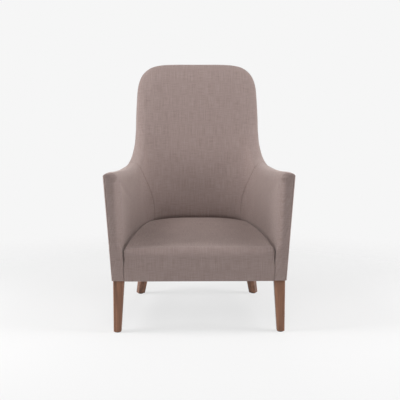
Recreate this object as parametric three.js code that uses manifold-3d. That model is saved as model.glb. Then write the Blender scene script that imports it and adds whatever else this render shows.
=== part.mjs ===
// A fireside chair: a tall upholstered tub on four tapered legs, all sizes in millimetres.
// +Z is up, the chair faces -Y, and the origin is on the floor under the middle of the chair.
import * as THREE from "three";
import { mergeVertices } from "three/addons/utils/BufferGeometryUtils.js";
import Module from "manifold-3d";

const wasm = await Module();
wasm.setup();

// Overall sizes
const footHalfWidth = 344; // half the width of the cover at its lower edge, in front
const headHalfWidth = 262; // half the width of the back, short of its rounded edge
const overallHeight = 1083;
const armHeight = 640;
const tubFootZ = 212; // lower edge of the cover
const footDepth = 700; // front plane to the outside back, at the lower edge
const headDepth = 795; // the same at the top of the raked back

// Wall of the tub
const armWallFoot = 48;
const backWallHead = 80;
const insideBackDepth = 565; // front plane to the inside back, at the seat
const insideFootDepth = 525; // the same at the lower edge
const backEdgeRise = 34; // how far the rounded edge of the back stands past its flat faces
const armEdgeRise = 13;
const frontEdgeRise = 9;

// Layers
const coverThickness = 2.4;
const clearance = 0.3;
const overrun = 20; // how far a cutting solid reaches past what it cuts

// Frame
const frameOuterDepth = 7; // outside of the frame, measured in from the cover's face
const frameThickness = 27;
const frameMiddleDepth = frameOuterDepth + frameThickness / 2;
const frameInnerDepth = frameOuterDepth + frameThickness;
const backPostThickness = 39;
const webThickness = 1.5;
const padStartDepth = frameInnerDepth + webThickness + 3 * clearance;
const rimPadding = 6; // padding between the frame's top and the start of the rounded edge
const rimGap = 1.5; // frame's top to the padding over it
const frameFootGap = 5.5; // how far the frame stays above the cover's lower edge
const seatRailHeight = 82;
const thinRailHeight = 32;
const backStuffRailRise = 17; // seat at the back up to the back stuff rail
const armStuffRailRise = 2; // seat in front up to the side stuff rails
const lumbarRailDrop = 60; // arm height down to the lumbar rail's lower edge
const lumbarRailHeight = 45;
const topRailDrop = 133; // overall height down to the top back rail's lower edge
const armRailHeight = 27;
const armRailDrop = 2.5; // how far the arm's top rail stays below the frame's lowest top
const tenonLength = 16;
const tenonShoulder = 6; // how much narrower than its rail a tenon is, on each side
const frontRailSetback = 9; // front plane to the front rail
const cornerBlockHeight = 68;
const cornerBlockReach = 58;
const cornerBlockEase = 12;
const frontBlockGap = 1.5; // front corner block to the arm post
const webLap = 12; // how far a web laps onto its rails

// Seat
const seatCrestZ = 341; // top of the soft front edge
const seatBackZ = 381; // top of the seat where it meets the inside back
const seatFrontProud = 5; // how far the seat's front stands before the front plane
const seatEdgeRadius = 34;
const seatSideDrop = 8; // how much lower the seat is along the arms than on its middle line
const seatFrontDropShare = 0.4; // the share of that drop at the front edge
const seatDropPower = 3; // how late the drop comes, going outwards
const springLap = 15; // how far a spring lies on its rail
const springSpreadShare = 0.622; // share of the inner half width at which the outer springs lie
const springSides = 5;
const springWire = 3.6;
const springSwing = 34; // full width of a spring's waves
const springWaves = 5;
const springSteps = 8; // steps along one wave
const springCount = 5;
const insulatorThickness = 1.5;
const clipThickness = 1.6;
const clipWidth = 8;
const dustThickness = 1.2;
const sheetMargin = 4;
const innerFootZ = 314; // lower edge of the inside covers and pads, under the seat
const underSeatMargin = 5; // how far past the wall the room under the seat is cut

// Legs
const legTop = 44;
const legFoot = 30;
const legEdge = 3;
const legInset = 4.5; // the cover stands this far proud of the front legs
const legRoomGap = 1.2; // leg to the covers cut round its top
const glideHeight = 3;
const glideRadius = 11;
const rearLegTurn = THREE.MathUtils.degToRad(26);
const rearSplay = 36; // how far out the rear foot stands from the leg's top
const rearRake = 58; // how far back it stands
const rearFoot = 33;
const rearLegDepth = 36; // outside face of the cover to the middle of the rear leg's top
const boltRadius = 4;
const boltInLeg = 34;
const boltInFrame = 26;
const insertWall = 2;

// Tables of shares, from the middle of the back round to the arm's front.
// Each row is [sideways share, backward share].
const footOuterShares = [
  [0, 1], [0.31, 0.994], [0.59, 0.963], [0.803, 0.86], [0.913, 0.63], [0.971, 0.33], [1, 0],
];
const footInnerShares = [
  [0, 1], [0.25, 0.99], [0.466, 0.94], [0.655, 0.81], [0.825, 0.575], [0.93, 0.325], [1, 0],
];
const headOuterShares = [
  [0, 1], [0.36, 0.998], [0.7, 0.99], [1, 0.972], [1.26, 0.76], [1.46, 0.4], [1.55, 0],
];
const headInnerShares = [
  [0, 1], [0.36, 0.999], [0.7, 0.995], [1, 0.985], [1.06, 0.8], [1.13, 0.44], [1.27, 0],
];

// Places round the wall, as shares of the way from the middle of the back to the arm's front.
const outsideSeamShare = 0.4667;
const coverFrontShare = 0.9975;
const backPostShares = [0.3967, 0.4533];
const armPostShares = [0.9583, 0.995];
const rearBlockShares = [0.35, 0.5];
const rearClipShare = 0.325;
const flapShare = 0.99; // in front of this the inside covers go down to the lower edge
const sheetShare = 0.9733; // the sheets under the seat follow the wall up to here
const webPitchShare = 0.1767;
const webHalfShare = 0.0367;
const stepShare = 0.0033;
const sliverShare = 0.0002; // columns this close to a block's end are left out of it
const webCount = 4;

// The seam between the inside back and an arm, which leans outwards as it rises to the edge:
// [share of the way from the tub's foot to the arm height, share of the way round].
const seamShares = [
  [-0.1, 0.457], [0.39, 0.456], [0.47, 0.455], [0.6, 0.464], [0.715, 0.497],
  [0.836, 0.552], [0.924, 0.61], [1.05, 0.7], [1.12, 0.75],
];

// The tub's top line: [station, share of the way from the arm height to the overall height].
const topLineShares = [
  [0, 1], [1.1, 1], [1.8, 0.992], [2.25, 0.968], [2.58, 0.91], [2.76, 0.82], [2.84, 0.7], [2.92, 0.52],
  [3.04, 0.33], [3.22, 0.18], [3.5, 0.06], [3.9, -0.01], [4.5, -0.035], [5.2, -0.03], [6, 0],
];

const riseGrowthShare = 0.5; // the share of the way up at which the edge has its full rise
const columnsPerSide = 18;
const stationSpacing = 140; // about how far apart the stations lie along the wall
const rowCount = 5;
const edgeSteps = 5;
const frontSteps = 2;
const frontFlatShare = 0.6; // the part of a last step that the arm's front stays flat
const edgeSquareness = 0.75; // below 1 squares the rounded edge off
const seatColumns = 12;
const seatEdgeSteps = 4;
const seatRows = 7;
const seamRows = 8;
const roundSides = 16;
const glideSides = 20;
const mergeTolerance = 1e-4;

// Sizes and places that follow from the ones above
const lerp = THREE.MathUtils.lerp;
const lastStation = footOuterShares.length - 1;
const stationsOf = (shares) => shares.map((share) => share * lastStation);
const [outsideSeamStation, coverFrontStation, flapStation] = stationsOf(
  [outsideSeamShare, coverFrontShare, flapShare],
);
const [sheetStation, rearClipStation, stationStep] = stationsOf([sheetShare, rearClipShare, stepShare]);
const [webPitchStations, webHalfStations, stationSliver] = stationsOf(
  [webPitchShare, webHalfShare, sliverShare],
);
const backPostStations = stationsOf(backPostShares);
const armPostStations = stationsOf(armPostShares);
const rearBlockStations = stationsOf(rearBlockShares);
const armInnerHalfFoot = footHalfWidth - armWallFoot;
const frameFootZ = tubFootZ + frameFootGap;
const seatRailTop = frameFootZ + seatRailHeight;
const springPitch = (2 * springSpreadShare * armInnerHalfFoot) / (springCount - 1);
const backStuffRailZ = seatBackZ + backStuffRailRise;
const armStuffRailZ = seatCrestZ + armStuffRailRise;
const lumbarRailZ = armHeight - lumbarRailDrop;
const topRailZ = overallHeight - topRailDrop;
const legTopZ = frameFootZ - clearance;
const railFrontFaceY = frontRailSetback + frameThickness;
const springZ = seatRailTop + clearance + springWire / 2;
const insulatorZ = springZ + springWire / 2 + clearance;
const seatPadZ = insulatorZ + insulatorThickness + clearance;
const boltTopZ = frameFootZ + boltInFrame;
const sleeveRadius = boltRadius + clearance + insertWall;

const material = {
  fabric: { color: 0x978783, roughness: 0.95, metalness: 0 },
  foam: { color: 0xe6dcbc, roughness: 1, metalness: 0 },
  beech: { color: 0xc9a57a, roughness: 0.7, metalness: 0 },
  walnut: { color: 0x7f5c4b, roughness: 0.5, metalness: 0 },
  steel: { color: 0x8e9092, roughness: 0.4, metalness: 1 },
  webbing: { color: 0x5b5348, roughness: 1, metalness: 0 },
  cambric: { color: 0x1d1c1d, roughness: 1, metalness: 0 },
  nylon: { color: 0x2a2624, roughness: 0.6, metalness: 0 },
};

const chair = new THREE.Group();

function addNode(name, geometry, finish) {
  const mesh = new THREE.Mesh(geometry, new THREE.MeshStandardMaterial(material[finish]));
  mesh.name = name;
  chair.add(mesh);
}

// Solids, cut and joined

function solidOf(geometry) {
  const bare = new THREE.BufferGeometry();
  bare.setAttribute("position", geometry.getAttribute("position").clone());
  bare.setIndex(geometry.index ? geometry.index.clone() : null);
  const merged = mergeVertices(bare, mergeTolerance);
  return new wasm.Manifold(
    new wasm.Mesh({
      numProp: 3,
      vertProperties: merged.attributes.position.array,
      triVerts: new Uint32Array(merged.index.array),
    }),
  );
}

function geometryOf(solid) {
  const mesh = solid.getMesh();
  const geometry = new THREE.BufferGeometry();
  geometry.setAttribute("position", new THREE.BufferAttribute(new Float32Array(mesh.vertProperties), 3));
  geometry.setIndex(new THREE.BufferAttribute(new Uint32Array(mesh.triVerts), 1));
  geometry.computeVertexNormals();
  return geometry;
}

function ladderTriangles(count) {
  const triangles = [];
  for (let low = 0, high = count - 1; low + 1 < high; low++, high--) {
    triangles.push([low, low + 1, high]);
    if (low + 1 < high - 1) triangles.push([low + 1, high - 1, high]);
  }
  return triangles;
}

// A solid through a row of closed loops that have the same number of points.
// A loop goes up one side and down the other, so its two ends are filled like a ladder.
function loftSolid(loops) {
  const count = loops[0].length;
  const positions = [];
  for (const loop of loops) for (const p of loop) positions.push(p.x, p.y, p.z);
  const triangles = [];
  for (let i = 0; i + 1 < loops.length; i++) {
    for (let j = 0; j < count; j++) {
      const a = i * count + j;
      const b = i * count + ((j + 1) % count);
      triangles.push(a, b, b + count, a, b + count, a + count);
    }
  }
  const lastLoop = (loops.length - 1) * count;
  for (const [a, b, c] of ladderTriangles(count)) {
    triangles.push(a, c, b, lastLoop + a, lastLoop + b, lastLoop + c);
  }
  const geometry = new THREE.BufferGeometry();
  geometry.setAttribute("position", new THREE.Float32BufferAttribute(positions, 3));
  geometry.setIndex(triangles);
  let solid = solidOf(geometry);
  if (solid.volume() < 0) {
    for (let i = 0; i < triangles.length; i += 3) {
      [triangles[i + 1], triangles[i + 2]] = [triangles[i + 2], triangles[i + 1]];
    }
    geometry.setIndex(triangles);
    solid = solidOf(geometry);
  }
  return solid;
}

function boxSolid(low, high) {
  const size = new THREE.Vector3().subVectors(high, low);
  const geometry = new THREE.BoxGeometry(size.x, size.y, size.z);
  geometry.translate(low.x + size.x / 2, low.y + size.y / 2, low.z + size.z / 2);
  return solidOf(geometry);
}

function cylinderSolid(radius, x, y, lowZ, highZ, sides = roundSides) {
  const geometry = new THREE.CylinderGeometry(radius, radius, highZ - lowZ, sides);
  geometry.rotateX(Math.PI / 2);
  geometry.translate(x, y, (lowZ + highZ) / 2);
  return solidOf(geometry);
}

// The tub's form

function shareCurve(shares, halfWidth, depth) {
  const points = shares.map(([across, back]) => new THREE.Vector3(across * halfWidth, back * depth, 0));
  const mirrored = points.slice(1).map((p) => new THREE.Vector3(-p.x, p.y, 0)).reverse();
  return new THREE.CatmullRomCurve3([...mirrored, ...points], false, "centripetal");
}

const planCurves = {
  footOuter: shareCurve(footOuterShares, footHalfWidth, footDepth),
  footInner: shareCurve(footInnerShares, armInnerHalfFoot, insideFootDepth),
  headOuter: shareCurve(headOuterShares, headHalfWidth, headDepth),
  headInner: shareCurve(headInnerShares, headHalfWidth, headDepth - backWallHead),
};

// A point of one plan curve at a station, negative on the left.
function curvePoint(curve, station) {
  return curve.getPoint((station + lastStation) / (2 * lastStation));
}

// The wall's plan at one station: its outside and inside points and the way inwards, low and high.
function planAt(station) {
  const plan = {};
  for (const [name, curve] of Object.entries(planCurves)) plan[name] = curvePoint(curve, station);
  plan.footInward = new THREE.Vector3().subVectors(plan.footInner, plan.footOuter).normalize();
  plan.headInward = new THREE.Vector3().subVectors(plan.headInner, plan.headOuter).normalize();
  return plan;
}

// The same between two columns, straight from one to the other, so that all layers share facets.
function facetedPlan(station) {
  const last = columns.length - 1;
  let i = 0;
  while (i < last - 1 && columns[i + 1].station < station) i++;
  const a = columns[i];
  const b = columns[i + 1];
  const share = (station - a.station) / (b.station - a.station);
  const plan = {};
  for (const name of Object.keys(a.plan)) plan[name] = a.plan[name].clone().lerp(b.plan[name], share);
  return plan;
}

// The outside point, the inside point and the way inwards at a station and a height.
function wallAt(station, z) {
  const plan = facetedPlan(station);
  const height = (z - tubFootZ) / (overallHeight - tubFootZ);
  const outer = plan.footOuter.lerp(plan.headOuter, height);
  const inner = plan.footInner.lerp(plan.headInner, height);
  const inward = plan.footInward.lerp(plan.headInward, height);
  outer.z = z;
  inner.z = z;
  return { outer, inner, inward };
}

// A point so many millimetres in from the outside face.
function wallPoint(station, z, depth) {
  const { outer, inward } = wallAt(station, z);
  return outer.addScaledVector(inward, depth);
}

const topLine = new THREE.CatmullRomCurve3(
  topLineShares.map(([station, share]) => {
    const z = lerp(armHeight, overallHeight, share);
    const rise = lerp(armEdgeRise, backEdgeRise, THREE.MathUtils.smoothstep(share, 0, riseGrowthShare));
    return new THREE.Vector3(station * stationSpacing, z - rise, rise);
  }),
  false,
  "centripetal",
);

// Columns of the wall: where each stands on the perimeter, how high it goes, how far its edge rises.
function wallColumns() {
  const right = [];
  for (let i = 0; i <= columnsPerSide; i++) {
    const p = topLine.getPoint(i / columnsPerSide);
    right.push({ station: Math.min(p.x / stationSpacing, lastStation), top: p.y, rise: p.z });
  }
  const left = right.slice(1).map((c) => ({ ...c, station: -c.station })).reverse();
  return [...left, ...right].map((c) => ({ ...c, plan: planAt(c.station) }));
}
const columns = wallColumns();
const thickestFoot = Math.max(...columns.map(({ plan }) => plan.footOuter.distanceTo(plan.footInner)));

function roundedShare(cosine) {
  return Math.sign(cosine) * Math.abs(cosine) ** edgeSquareness;
}

// One upright section of the wall, drawn in from its surface by inset.
function wallSection(column, inset, footZ) {
  const outerRow = [];
  const innerRow = [];
  for (let row = 0; row <= rowCount; row++) {
    const z = lerp(footZ, column.top, row / rowCount);
    const { outer, inner, inward } = wallAt(column.station, z);
    outerRow.push(outer.addScaledVector(inward, inset));
    innerRow.push(inner.addScaledVector(inward, -inset));
  }
  return { outerRow, innerRow, rise: column.rise - inset };
}

// The way that the rounded edge faces at the top of a column.
function edgeDirection(index) {
  const before = columns[Math.max(index - 1, 0)];
  const after = columns[Math.min(index + 1, columns.length - 1)];
  const tangent = new THREE.Vector3().subVectors(
    wallPoint(after.station, after.top, 0),
    wallPoint(before.station, before.top, 0),
  );
  const { outer, inner } = wallAt(columns[index].station, columns[index].top);
  const across = new THREE.Vector3().subVectors(inner, outer);
  return new THREE.Vector3().crossVectors(across, tangent).normalize();
}

function sectionLoop(section, direction) {
  const top = section.outerRow.at(-1);
  const end = section.innerRow.at(-1);
  const middle = new THREE.Vector3().addVectors(top, end).multiplyScalar(0.5);
  const half = new THREE.Vector3().subVectors(top, end).multiplyScalar(0.5);
  const arc = [];
  for (let step = 1; step < edgeSteps; step++) {
    const angle = (Math.PI * step) / edgeSteps;
    const point = middle.clone().addScaledVector(half, roundedShare(Math.cos(angle)));
    arc.push(point.addScaledVector(direction, section.rise * roundedShare(Math.sin(angle))));
  }
  return [...section.outerRow, ...arc, ...section.innerRow.slice().reverse()];
}

// The arm's front: sections that narrow as they come forward round the front edge.
function frontSections(column, inset, footZ) {
  const base = wallSection(column, inset, footZ);
  const sections = [];
  for (let step = frontSteps; step >= 1; step--) {
    const angle = (Math.PI / 2) * (step / (frontSteps + frontFlatShare));
    const narrow = roundedShare(Math.cos(angle));
    const forward = new THREE.Vector3(0, -(frontEdgeRise - inset) * roundedShare(Math.sin(angle)), 0);
    const outerRow = [];
    const innerRow = [];
    for (let row = 0; row <= rowCount; row++) {
      const middle = base.outerRow[row].clone().add(base.innerRow[row]).multiplyScalar(0.5);
      outerRow.push(middle.clone().lerp(base.outerRow[row], narrow).add(forward));
      innerRow.push(middle.clone().lerp(base.innerRow[row], narrow).add(forward));
    }
    sections.push({ outerRow, innerRow, rise: base.rise * narrow });
  }
  return sections;
}

function tubSolid(inset, footZ) {
  const last = columns.length - 1;
  const loops = [];
  const up = new THREE.Vector3(0, 0, 1);
  for (const s of frontSections(columns[0], inset, footZ)) loops.push(sectionLoop(s, up));
  columns.forEach((column, i) => {
    const direction = i === 0 || i === last ? up : edgeDirection(i);
    loops.push(sectionLoop(wallSection(column, inset, footZ), direction));
  });
  for (const s of frontSections(columns[last], inset, footZ).reverse()) loops.push(sectionLoop(s, up));
  return loftSolid(loops);
}

// A block of the wall between two stations, two heights and two depths in from the outside face.
// A height may be a function of the station.
function wallBlock(from, to, low, high, nearDepth, farDepth, rows = 1) {
  const nearest = from + stationSliver;
  const furthest = to - stationSliver;
  const inside = columns.filter(({ station }) => station > nearest && station < furthest);
  const loops = [from, ...inside.map((c) => c.station), to].map((station) => {
    const lowZ = typeof low === "function" ? low(station) : low;
    const highZ = typeof high === "function" ? high(station) : high;
    const near = [];
    const far = [];
    for (let row = 0; row <= rows; row++) {
      const z = lerp(lowZ, highZ, row / rows);
      near.push(wallPoint(station, z, nearDepth));
      far.push(wallPoint(station, z, farDepth));
    }
    return [...near, ...far.reverse()];
  });
  return loftSolid(loops);
}

// Height of the wall's flat faces at a station.
function topAt(station) {
  const last = columns.length - 1;
  let i = 0;
  while (i < last - 1 && columns[i + 1].station < station) i++;
  const a = columns[i];
  const b = columns[i + 1];
  return lerp(a.top, b.top, (station - a.station) / (b.station - a.station));
}

// The station that lies so many millimetres further round the frame.
function stationPast(station, distance) {
  const here = wallPoint(station, tubFootZ, frameMiddleDepth);
  const there = wallPoint(station + stationStep, tubFootZ, frameMiddleDepth);
  return station + (stationStep * distance) / here.distanceTo(there);
}

// The line of the seam between the inside back and the right arm: x is its way round the wall.
const seamLine = new THREE.CatmullRomCurve3(
  seamShares.map(([height, round]) => new THREE.Vector3(
    round * lastStation * stationSpacing, lerp(tubFootZ, armHeight, height), 0,
  )),
  false,
  "centripetal",
);

// A thin cut through the whole wall along that line, which parts two covers or two pads.
function seamCut(side) {
  const places = [];
  for (let row = 0; row <= seamRows; row++) {
    const p = seamLine.getPoint(row / seamRows);
    places.push(wallAt((side * p.x) / stationSpacing, p.y));
  }
  const loops = [-1, 1].map((way) => {
    const near = [];
    const far = [];
    places.forEach((place, row) => {
      const above = places[Math.min(row + 1, seamRows)].inner;
      const upwards = new THREE.Vector3().subVectors(above, places[Math.max(row - 1, 0)].inner);
      const along = new THREE.Vector3().crossVectors(place.inward, upwards);
      along.setLength((way * clearance) / 2);
      near.push(place.outer.clone().addScaledVector(place.inward, -overrun).add(along));
      far.push(place.inner.clone().addScaledVector(place.inward, overrun).add(along));
    });
    return [...near, ...far.reverse()];
  });
  return loftSolid(loops);
}

function largestBody(solid) {
  return solid.decompose().sort((a, b) => b.volume() - a.volume())[0];
}

function middleX(solid) {
  const box = solid.boundingBox();
  return (box.min[0] + box.max[0]) / 2;
}

// The three parts of a wall layer that is cut at both seams, from the left to the right.
function partedAtSeams(solid) {
  const parted = solid.subtract(seamCut(1)).subtract(seamCut(-1));
  const bodies = parted.decompose().sort((a, b) => b.volume() - a.volume()).slice(0, 3);
  return bodies.sort((a, b) => middleX(a) - middleX(b));
}

// Frame

const armColumns = columns.filter((column) => column.station > backPostStations[1]);
const armRailTop = Math.min(...armColumns.map((column) => column.top)) - rimPadding - armRailDrop;
const frameTopAt = (station) => topAt(station) - rimPadding;

// A curved rail with a tenon at each end, and the room that its tenons need in the posts.
function curvedRail(from, to, low, high, tenonLift = tenonShoulder) {
  const near = frameOuterDepth;
  const far = frameInnerDepth;
  const tenonFrom = stationPast(from, -tenonLength);
  const tenonTo = stationPast(to, tenonLength);
  const lowAt = typeof low === "function" ? low : () => low;
  const highAt = typeof high === "function" ? high : () => high;
  const tenon = (gap) => wallBlock(
    stationPast(tenonFrom, -gap),
    stationPast(tenonTo, gap),
    (station) => lowAt(station) + tenonLift - gap,
    (station) => highAt(station) - tenonShoulder + gap,
    near + tenonShoulder - gap,
    far - tenonShoulder + gap,
  );
  const body = wallBlock(from, to, low, high, near, far);
  return { body, tenon: tenon(0), room: tenon(clearance) };
}

// A post that follows the wall from its foot to its top, or the room that it needs.
function postSolid(side, stations, thickness, gap) {
  const ends = stations.map((station) => side * station).sort((a, b) => a - b);
  return wallBlock(
    stationPast(ends[0], -gap),
    stationPast(ends[1], gap),
    frameFootZ - gap,
    (station) => frameTopAt(station) + gap,
    frameOuterDepth - gap,
    frameOuterDepth + thickness + gap,
    rowCount,
  );
}

function buildFrame() {
  const rails = {};
  const backFrom = -backPostStations[0];
  const backTo = backPostStations[0];
  const overBolts = boltInFrame + tenonShoulder;
  const acrossBack = (low, high, lift) => curvedRail(backFrom, backTo, low, high, lift);
  rails.seat_rail_rear = acrossBack(frameFootZ, seatRailTop, overBolts);
  rails.back_stuff_rail = acrossBack(backStuffRailZ, backStuffRailZ + thinRailHeight);
  rails.lumbar_rail = acrossBack(lumbarRailZ, lumbarRailZ + lumbarRailHeight);
  rails.top_back_rail = acrossBack(topRailZ, frameTopAt);
  for (const [side, word] of [[-1, "left"], [1, "right"]]) {
    const ends = [side * backPostStations[1], side * armPostStations[0]].sort((a, b) => a - b);
    const alongArm = (low, high, lift) => curvedRail(ends[0], ends[1], low, high, lift);
    rails["seat_rail_" + word] = alongArm(frameFootZ, seatRailTop, overBolts);
    rails["stuff_rail_" + word] = alongArm(armStuffRailZ, armStuffRailZ + thinRailHeight);
    rails["arm_top_rail_" + word] = alongArm(armRailTop - armRailHeight, armRailTop);
  }
  const posts = {};
  const rooms = {};
  for (const [side, word] of [[-1, "left"], [1, "right"]]) {
    posts["arm_post_" + word] = postSolid(side, armPostStations, frameThickness, 0);
    rooms["arm_post_" + word] = postSolid(side, armPostStations, frameThickness, clearance);
    posts["back_post_" + word] = postSolid(side, backPostStations, backPostThickness, 0);
    rooms["back_post_" + word] = postSolid(side, backPostStations, backPostThickness, clearance);
  }
  const solids = {};
  for (const [name, rail] of Object.entries(rails)) {
    let body = rail.body;
    for (const room of Object.values(rooms)) body = body.subtract(room);
    solids[name] = largestBody(body).add(rail.tenon);
    for (const post of Object.keys(posts)) posts[post] = posts[post].subtract(rail.room);
  }
  return { rails: solids, posts, rooms };
}

// The straight front rail runs between the arm posts, with a tenon into each.
function frontRail(gap) {
  const postFace = Math.min(
    wallPoint(armPostStations[0], frameFootZ, frameInnerDepth).x,
    wallPoint(armPostStations[1], frameFootZ, frameInnerDepth).x,
  );
  const half = postFace - 2 * clearance;
  const y = [frontRailSetback - gap, frontRailSetback + frameThickness + gap];
  const body = boxSolid(
    new THREE.Vector3(-half - gap, y[0], frameFootZ - gap),
    new THREE.Vector3(half + gap, y[1], seatRailTop + gap),
  );
  const tenonHalf = half + tenonLength + gap;
  const tenon = boxSolid(
    new THREE.Vector3(-tenonHalf, y[0] + tenonShoulder, boltTopZ + tenonShoulder - gap),
    new THREE.Vector3(tenonHalf, y[1] - tenonShoulder, seatRailTop - tenonShoulder + gap),
  );
  return body.add(tenon);
}

// Legs

function ring(center, size, edge, turn, z) {
  const half = size / 2;
  const points = [];
  const corners = [[1, 1], [-1, 1], [-1, -1], [1, -1]];
  corners.forEach(([sx, sy], i) => {
    const alongX = new THREE.Vector3(sx * (half - edge), sy * half, 0);
    const alongY = new THREE.Vector3(sx * half, sy * (half - edge), 0);
    points.push(...(i % 2 === 0 ? [alongY, alongX] : [alongX, alongY]));
  });
  return points.map((p) => p.applyAxisAngle(new THREE.Vector3(0, 0, 1), turn).add(center).setZ(z));
}

// A square tapered leg with eased edges, from its foot to its top, and the hole for its bolt.
function legSolid({ top, foot, size, turn, bolt }) {
  const lowZ = glideHeight + clearance;
  const rings = [
    ring(foot, size - legEdge, legEdge, turn, lowZ),
    ring(foot, size, legEdge, turn, lowZ + legEdge / 2),
    ring(top, legTop, legEdge, turn, legTopZ),
  ];
  const holeFootZ = legTopZ - boltInLeg - clearance;
  const hole = cylinderSolid(boltRadius + clearance, bolt.x, bolt.y, holeFootZ, legTopZ + overrun);
  return loftSolid(rings).subtract(hole);
}

// The middle of a post's foot, where the bolt goes in.
function postMiddle([from, to], thickness) {
  return wallPoint((from + to) / 2, frameFootZ, frameOuterDepth + thickness / 2);
}

function legPlaces() {
  const half = legTop / 2;
  const frontTop = new THREE.Vector3(footHalfWidth - legInset - half, legInset + half, 0);
  const taper = (legTop - legFoot) / 2;
  const frontFoot = frontTop.clone().add(new THREE.Vector3(taper, -taper, 0));
  const postStation = (backPostStations[0] + backPostStations[1]) / 2;
  const rearTop = wallPoint(postStation, tubFootZ, rearLegDepth).setZ(0);
  const rearFootPlace = rearTop.clone().add(new THREE.Vector3(rearSplay, rearRake, 0));
  const right = {
    front: {
      top: frontTop, foot: frontFoot, size: legFoot, turn: 0,
      bolt: postMiddle(armPostStations, frameThickness),
    },
    rear: {
      top: rearTop, foot: rearFootPlace, size: rearFoot, turn: -rearLegTurn,
      bolt: postMiddle(backPostStations, backPostThickness),
    },
  };
  const mirror = (p) => new THREE.Vector3(-p.x, p.y, p.z);
  const places = {};
  for (const [end, leg] of Object.entries(right)) {
    places[end + "_left"] = {
      ...leg, top: mirror(leg.top), foot: mirror(leg.foot), turn: -leg.turn, bolt: mirror(leg.bolt),
    };
    places[end + "_right"] = leg;
  }
  return places;
}

function buildLegs(posts) {
  for (const [place, leg] of Object.entries(legPlaces())) {
    const { foot, bolt: { x, y } } = leg;
    addNode("leg_" + place, geometryOf(legSolid(leg)), "walnut");
    const glide = cylinderSolid(glideRadius, foot.x, foot.y, 0, glideHeight, glideSides);
    addNode("glide_" + place, geometryOf(glide), "nylon");
    const bolt = cylinderSolid(boltRadius, x, y, legTopZ - boltInLeg, boltTopZ);
    addNode("leg_bolt_" + place, geometryOf(bolt), "steel");
    const sleeve = cylinderSolid(sleeveRadius, x, y, frameFootZ, boltTopZ)
      .subtract(cylinderSolid(boltRadius + clearance, x, y, legTopZ, boltTopZ + overrun));
    addNode("leg_insert_" + place, geometryOf(sleeve), "steel");
    const post = (place.startsWith("front") ? "arm_post_" : "back_post_") + place.split("_")[1];
    const bore = cylinderSolid(sleeveRadius + clearance, x, y, frameFootZ - overrun, boltTopZ + clearance);
    posts[post] = posts[post].subtract(bore);
  }
}

// Seat

// The seat's height over the springs at a place: a crown that falls away to the arms and the front.
function seatTop(x, y) {
  const back = THREE.MathUtils.clamp((y - seatEdgeRadius) / (insideBackDepth - seatEdgeRadius), 0, 1);
  const across = Math.min(Math.abs(x) / armInnerHalfFoot, 1);
  const middle = lerp(seatCrestZ, seatBackZ, Math.sin((back * Math.PI) / 2));
  return middle - seatSideDrop * across ** seatDropPower * lerp(seatFrontDropShare, 1, back);
}

// The seat's solid, drawn in from its surface by inset, wider and deeper than its place in the tub.
function seatSolid(inset, bottomZ, extra) {
  const halfWide = footHalfWidth - armWallFoot / 2 + extra;
  const rear = insideBackDepth + backWallHead / 2 + extra;
  const frontY = -seatFrontProud + inset;
  const radius = seatEdgeRadius - inset;
  const loops = [];
  for (let i = 0; i <= seatColumns; i++) {
    const x = lerp(-halfWide, halfWide, i / seatColumns);
    const top = [];
    const crest = seatTop(x, 0) - inset;
    top.push(new THREE.Vector3(x, frontY, bottomZ));
    top.push(new THREE.Vector3(x, frontY, lerp(tubFootZ, crest - radius, 0.5)));
    for (let step = 0; step <= seatEdgeSteps; step++) {
      const angle = (Math.PI / 2) * (step / seatEdgeSteps);
      const y = frontY + radius * (1 - Math.cos(angle));
      top.push(new THREE.Vector3(x, y, crest - radius * (1 - Math.sin(angle))));
    }
    for (let step = 1; step <= seatRows; step++) {
      const y = lerp(frontY + radius, rear, step / seatRows);
      top.push(new THREE.Vector3(x, y, seatTop(x, y) - inset));
    }
    const bottom = top.map((p) => new THREE.Vector3(x, p.y, bottomZ));
    bottom[0].y += inset + coverThickness;
    bottom[1].y = bottom[0].y;
    bottom.forEach((p, j) => { p.y = lerp(bottom[0].y, rear, j / (bottom.length - 1)); });
    loops.push([...top, ...bottom.reverse()]);
  }
  return loftSolid(loops);
}

function buildSeat(tubRoom, frontRailRoom) {
  const shell = seatSolid(0, tubFootZ, 0).subtract(seatSolid(coverThickness, tubFootZ - overrun, overrun));
  addNode("seat_cover", geometryOf(largestBody(shell.subtract(tubRoom))), "fabric");
  const under = boxSolid(
    new THREE.Vector3(-footHalfWidth, frontRailSetback - clearance, 0),
    new THREE.Vector3(footHalfWidth, footDepth, seatPadZ),
  );
  const pad = seatSolid(coverThickness + 2 * clearance, frameFootZ, 0).subtract(under).subtract(tubRoom);
  addNode("seat_pad", geometryOf(largestBody(pad.subtract(frontRailRoom))), "foam");
}

// Where the inside of the rear rail's top lies at a distance from the middle.
function rearRailFace(x) {
  let station = 0;
  while (wallPoint(station, seatRailTop, frameInnerDepth).x < Math.abs(x)) station += stationStep;
  return wallPoint(station, seatRailTop, frameInnerDepth).y;
}

function springSolid(x) {
  const from = railFrontFaceY - springLap;
  const to = rearRailFace(x) + springLap;
  const points = [];
  const steps = springWaves * springSteps;
  for (let i = 0; i <= steps; i++) {
    const share = i / steps;
    const angle = share * springWaves * 2 * Math.PI;
    const ends = Math.min(1, Math.min(share, 1 - share) * springWaves * 2);
    const sideways = (springSwing / 2) * Math.sin(angle) * ends;
    points.push(new THREE.Vector3(x + sideways, lerp(from, to, share), springZ));
  }
  const shape = new THREE.Shape();
  for (let side = 0; side < springSides; side++) {
    const angle = (2 * Math.PI * side) / springSides;
    const place = [(springWire / 2) * Math.cos(angle), (springWire / 2) * Math.sin(angle)];
    if (side === 0) shape.moveTo(...place);
    else shape.lineTo(...place);
  }
  const path = new THREE.CatmullRomCurve3(points);
  return new THREE.ExtrudeGeometry(shape, { steps, extrudePath: path, bevelEnabled: false });
}

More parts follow.
